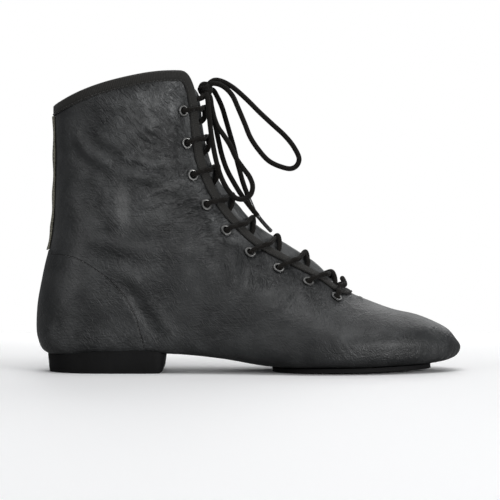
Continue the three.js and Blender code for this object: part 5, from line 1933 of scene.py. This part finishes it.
class BOOT_OT_underfoot(bpy.types.Operator):
    """Makes the sole patch, the heel block and the insole"""

    bl_idname = "boot.underfoot"
    bl_label = "Sole, heel and insole"

    def execute(self, context):
        size = sizes()
        sole_reach = rounded_reach(SOLE_FRONT_END, SOLE_REAR_END,
                                   lambda s: SOLE_WIDTH_SHARE * half_width_at(s), 2.6)
        station, angle = pad_grid(SOLE_FRONT_END, SOLE_REAR_END, sole_reach, SOLE_GRID)
        upper_side = face(station, angle, GAP)
        lower_side = face(station, angle, GAP + size.sole_thickness + SOLE_FLATTENING)
        lower_side[..., 2] = np.maximum(lower_side[..., 2], 0)
        sole = shell_piece("sole_patch", lower_side, upper_side, material("rubber"))
        round_edges(sole, 0.35 * MM, 2)
        hold(sole, "rubber", "sole_front")

        breast, back = station_for_back(HEEL_LENGTH / 2), station_for_back(-HEEL_LENGTH / 2)
        station, angle = pad_grid(breast, back, heel_reach_at, HEEL_GRID)
        upper_side = face(station, angle, HEEL_SEAT_GAP)
        lower_side = upper_side * np.array([HEEL_TAPER, HEEL_TAPER, 0])
        ahead = np.clip(lower_side[..., 0] - lower_side[..., 0].max() + HEEL_CORNER, 0, HEEL_CORNER)
        lower_side[..., 2] = HEEL_CORNER - np.sqrt(HEEL_CORNER ** 2 - ahead ** 2)
        heel = shell_piece("heel_block", lower_side, upper_side, material("rubber"))
        round_edges(heel, 0.5 * MM)
        hold(heel, "rubber", "heel")

        insole_reach = rounded_reach(INSOLE_FRONT - 0.1, INSOLE_BACK + 0.4,
                                     lambda s: INSOLE_WIDTH_SHARE * half_width_at(s), 4)
        station, angle = pad_grid(INSOLE_FRONT, INSOLE_BACK, insole_reach, INSOLE_GRID)
        depth = size.wall + INSOLE_CLEARANCE
        insole = shell_piece("insole_pad", face(station, angle, -depth),
                             face(station, angle, -depth - INSOLE_THICKNESS), material("lining"))
        round_edges(insole, 0.4 * MM, 2)
        hold(insole, "lining", "insole")
        return {"FINISHED"}


class BOOT_PT_panel(bpy.types.Panel):
    """Lists the steps and the sizes of the boot"""

    bl_idname = "BOOT_PT_panel"
    bl_label = "Dance Boot"
    bl_space_type = "VIEW_3D"
    bl_region_type = "UI"
    bl_category = "Dance Boot"

    def draw(self, context):
        for operator in OPERATORS:
            self.layout.operator(operator.bl_idname)
        for group in (context.scene.boot_sizes, context.scene.boot_colours):
            box = self.layout.box()
            for key in group.__annotations__:
                box.prop(group, key)


OPERATORS = (BOOT_OT_camera, BOOT_OT_bow, BOOT_OT_lacing, BOOT_OT_eyelets, BOOT_OT_upper, BOOT_OT_tongue,
             BOOT_OT_binding, BOOT_OT_back_strip, BOOT_OT_seams, BOOT_OT_underfoot, BOOT_OT_stage)
CLASSES = (BootSizes, BootColours, *OPERATORS, BOOT_PT_panel)


def register():
    """Adds the classes and the scene's properties."""
    for item in CLASSES:
        bpy.utils.register_class(item)
    bpy.types.Scene.boot_sizes = bpy.props.PointerProperty(type=BootSizes)
    bpy.types.Scene.boot_colours = bpy.props.PointerProperty(type=BootColours)


def unregister():
    """Takes them away again."""
    del bpy.types.Scene.boot_colours
    del bpy.types.Scene.boot_sizes
    for item in reversed(CLASSES):
        bpy.utils.unregister_class(item)


def write_sizes():
    """Updates the view layer."""
    bpy.context.view_layer.update()


def main():
    """Builds the whole boot and its stage."""
    register()
    for operator in OPERATORS:
        group, name = operator.bl_idname.split(".")
        getattr(getattr(bpy.ops, group), name)()
    write_sizes()


if __name__ == "__main__":
    main()
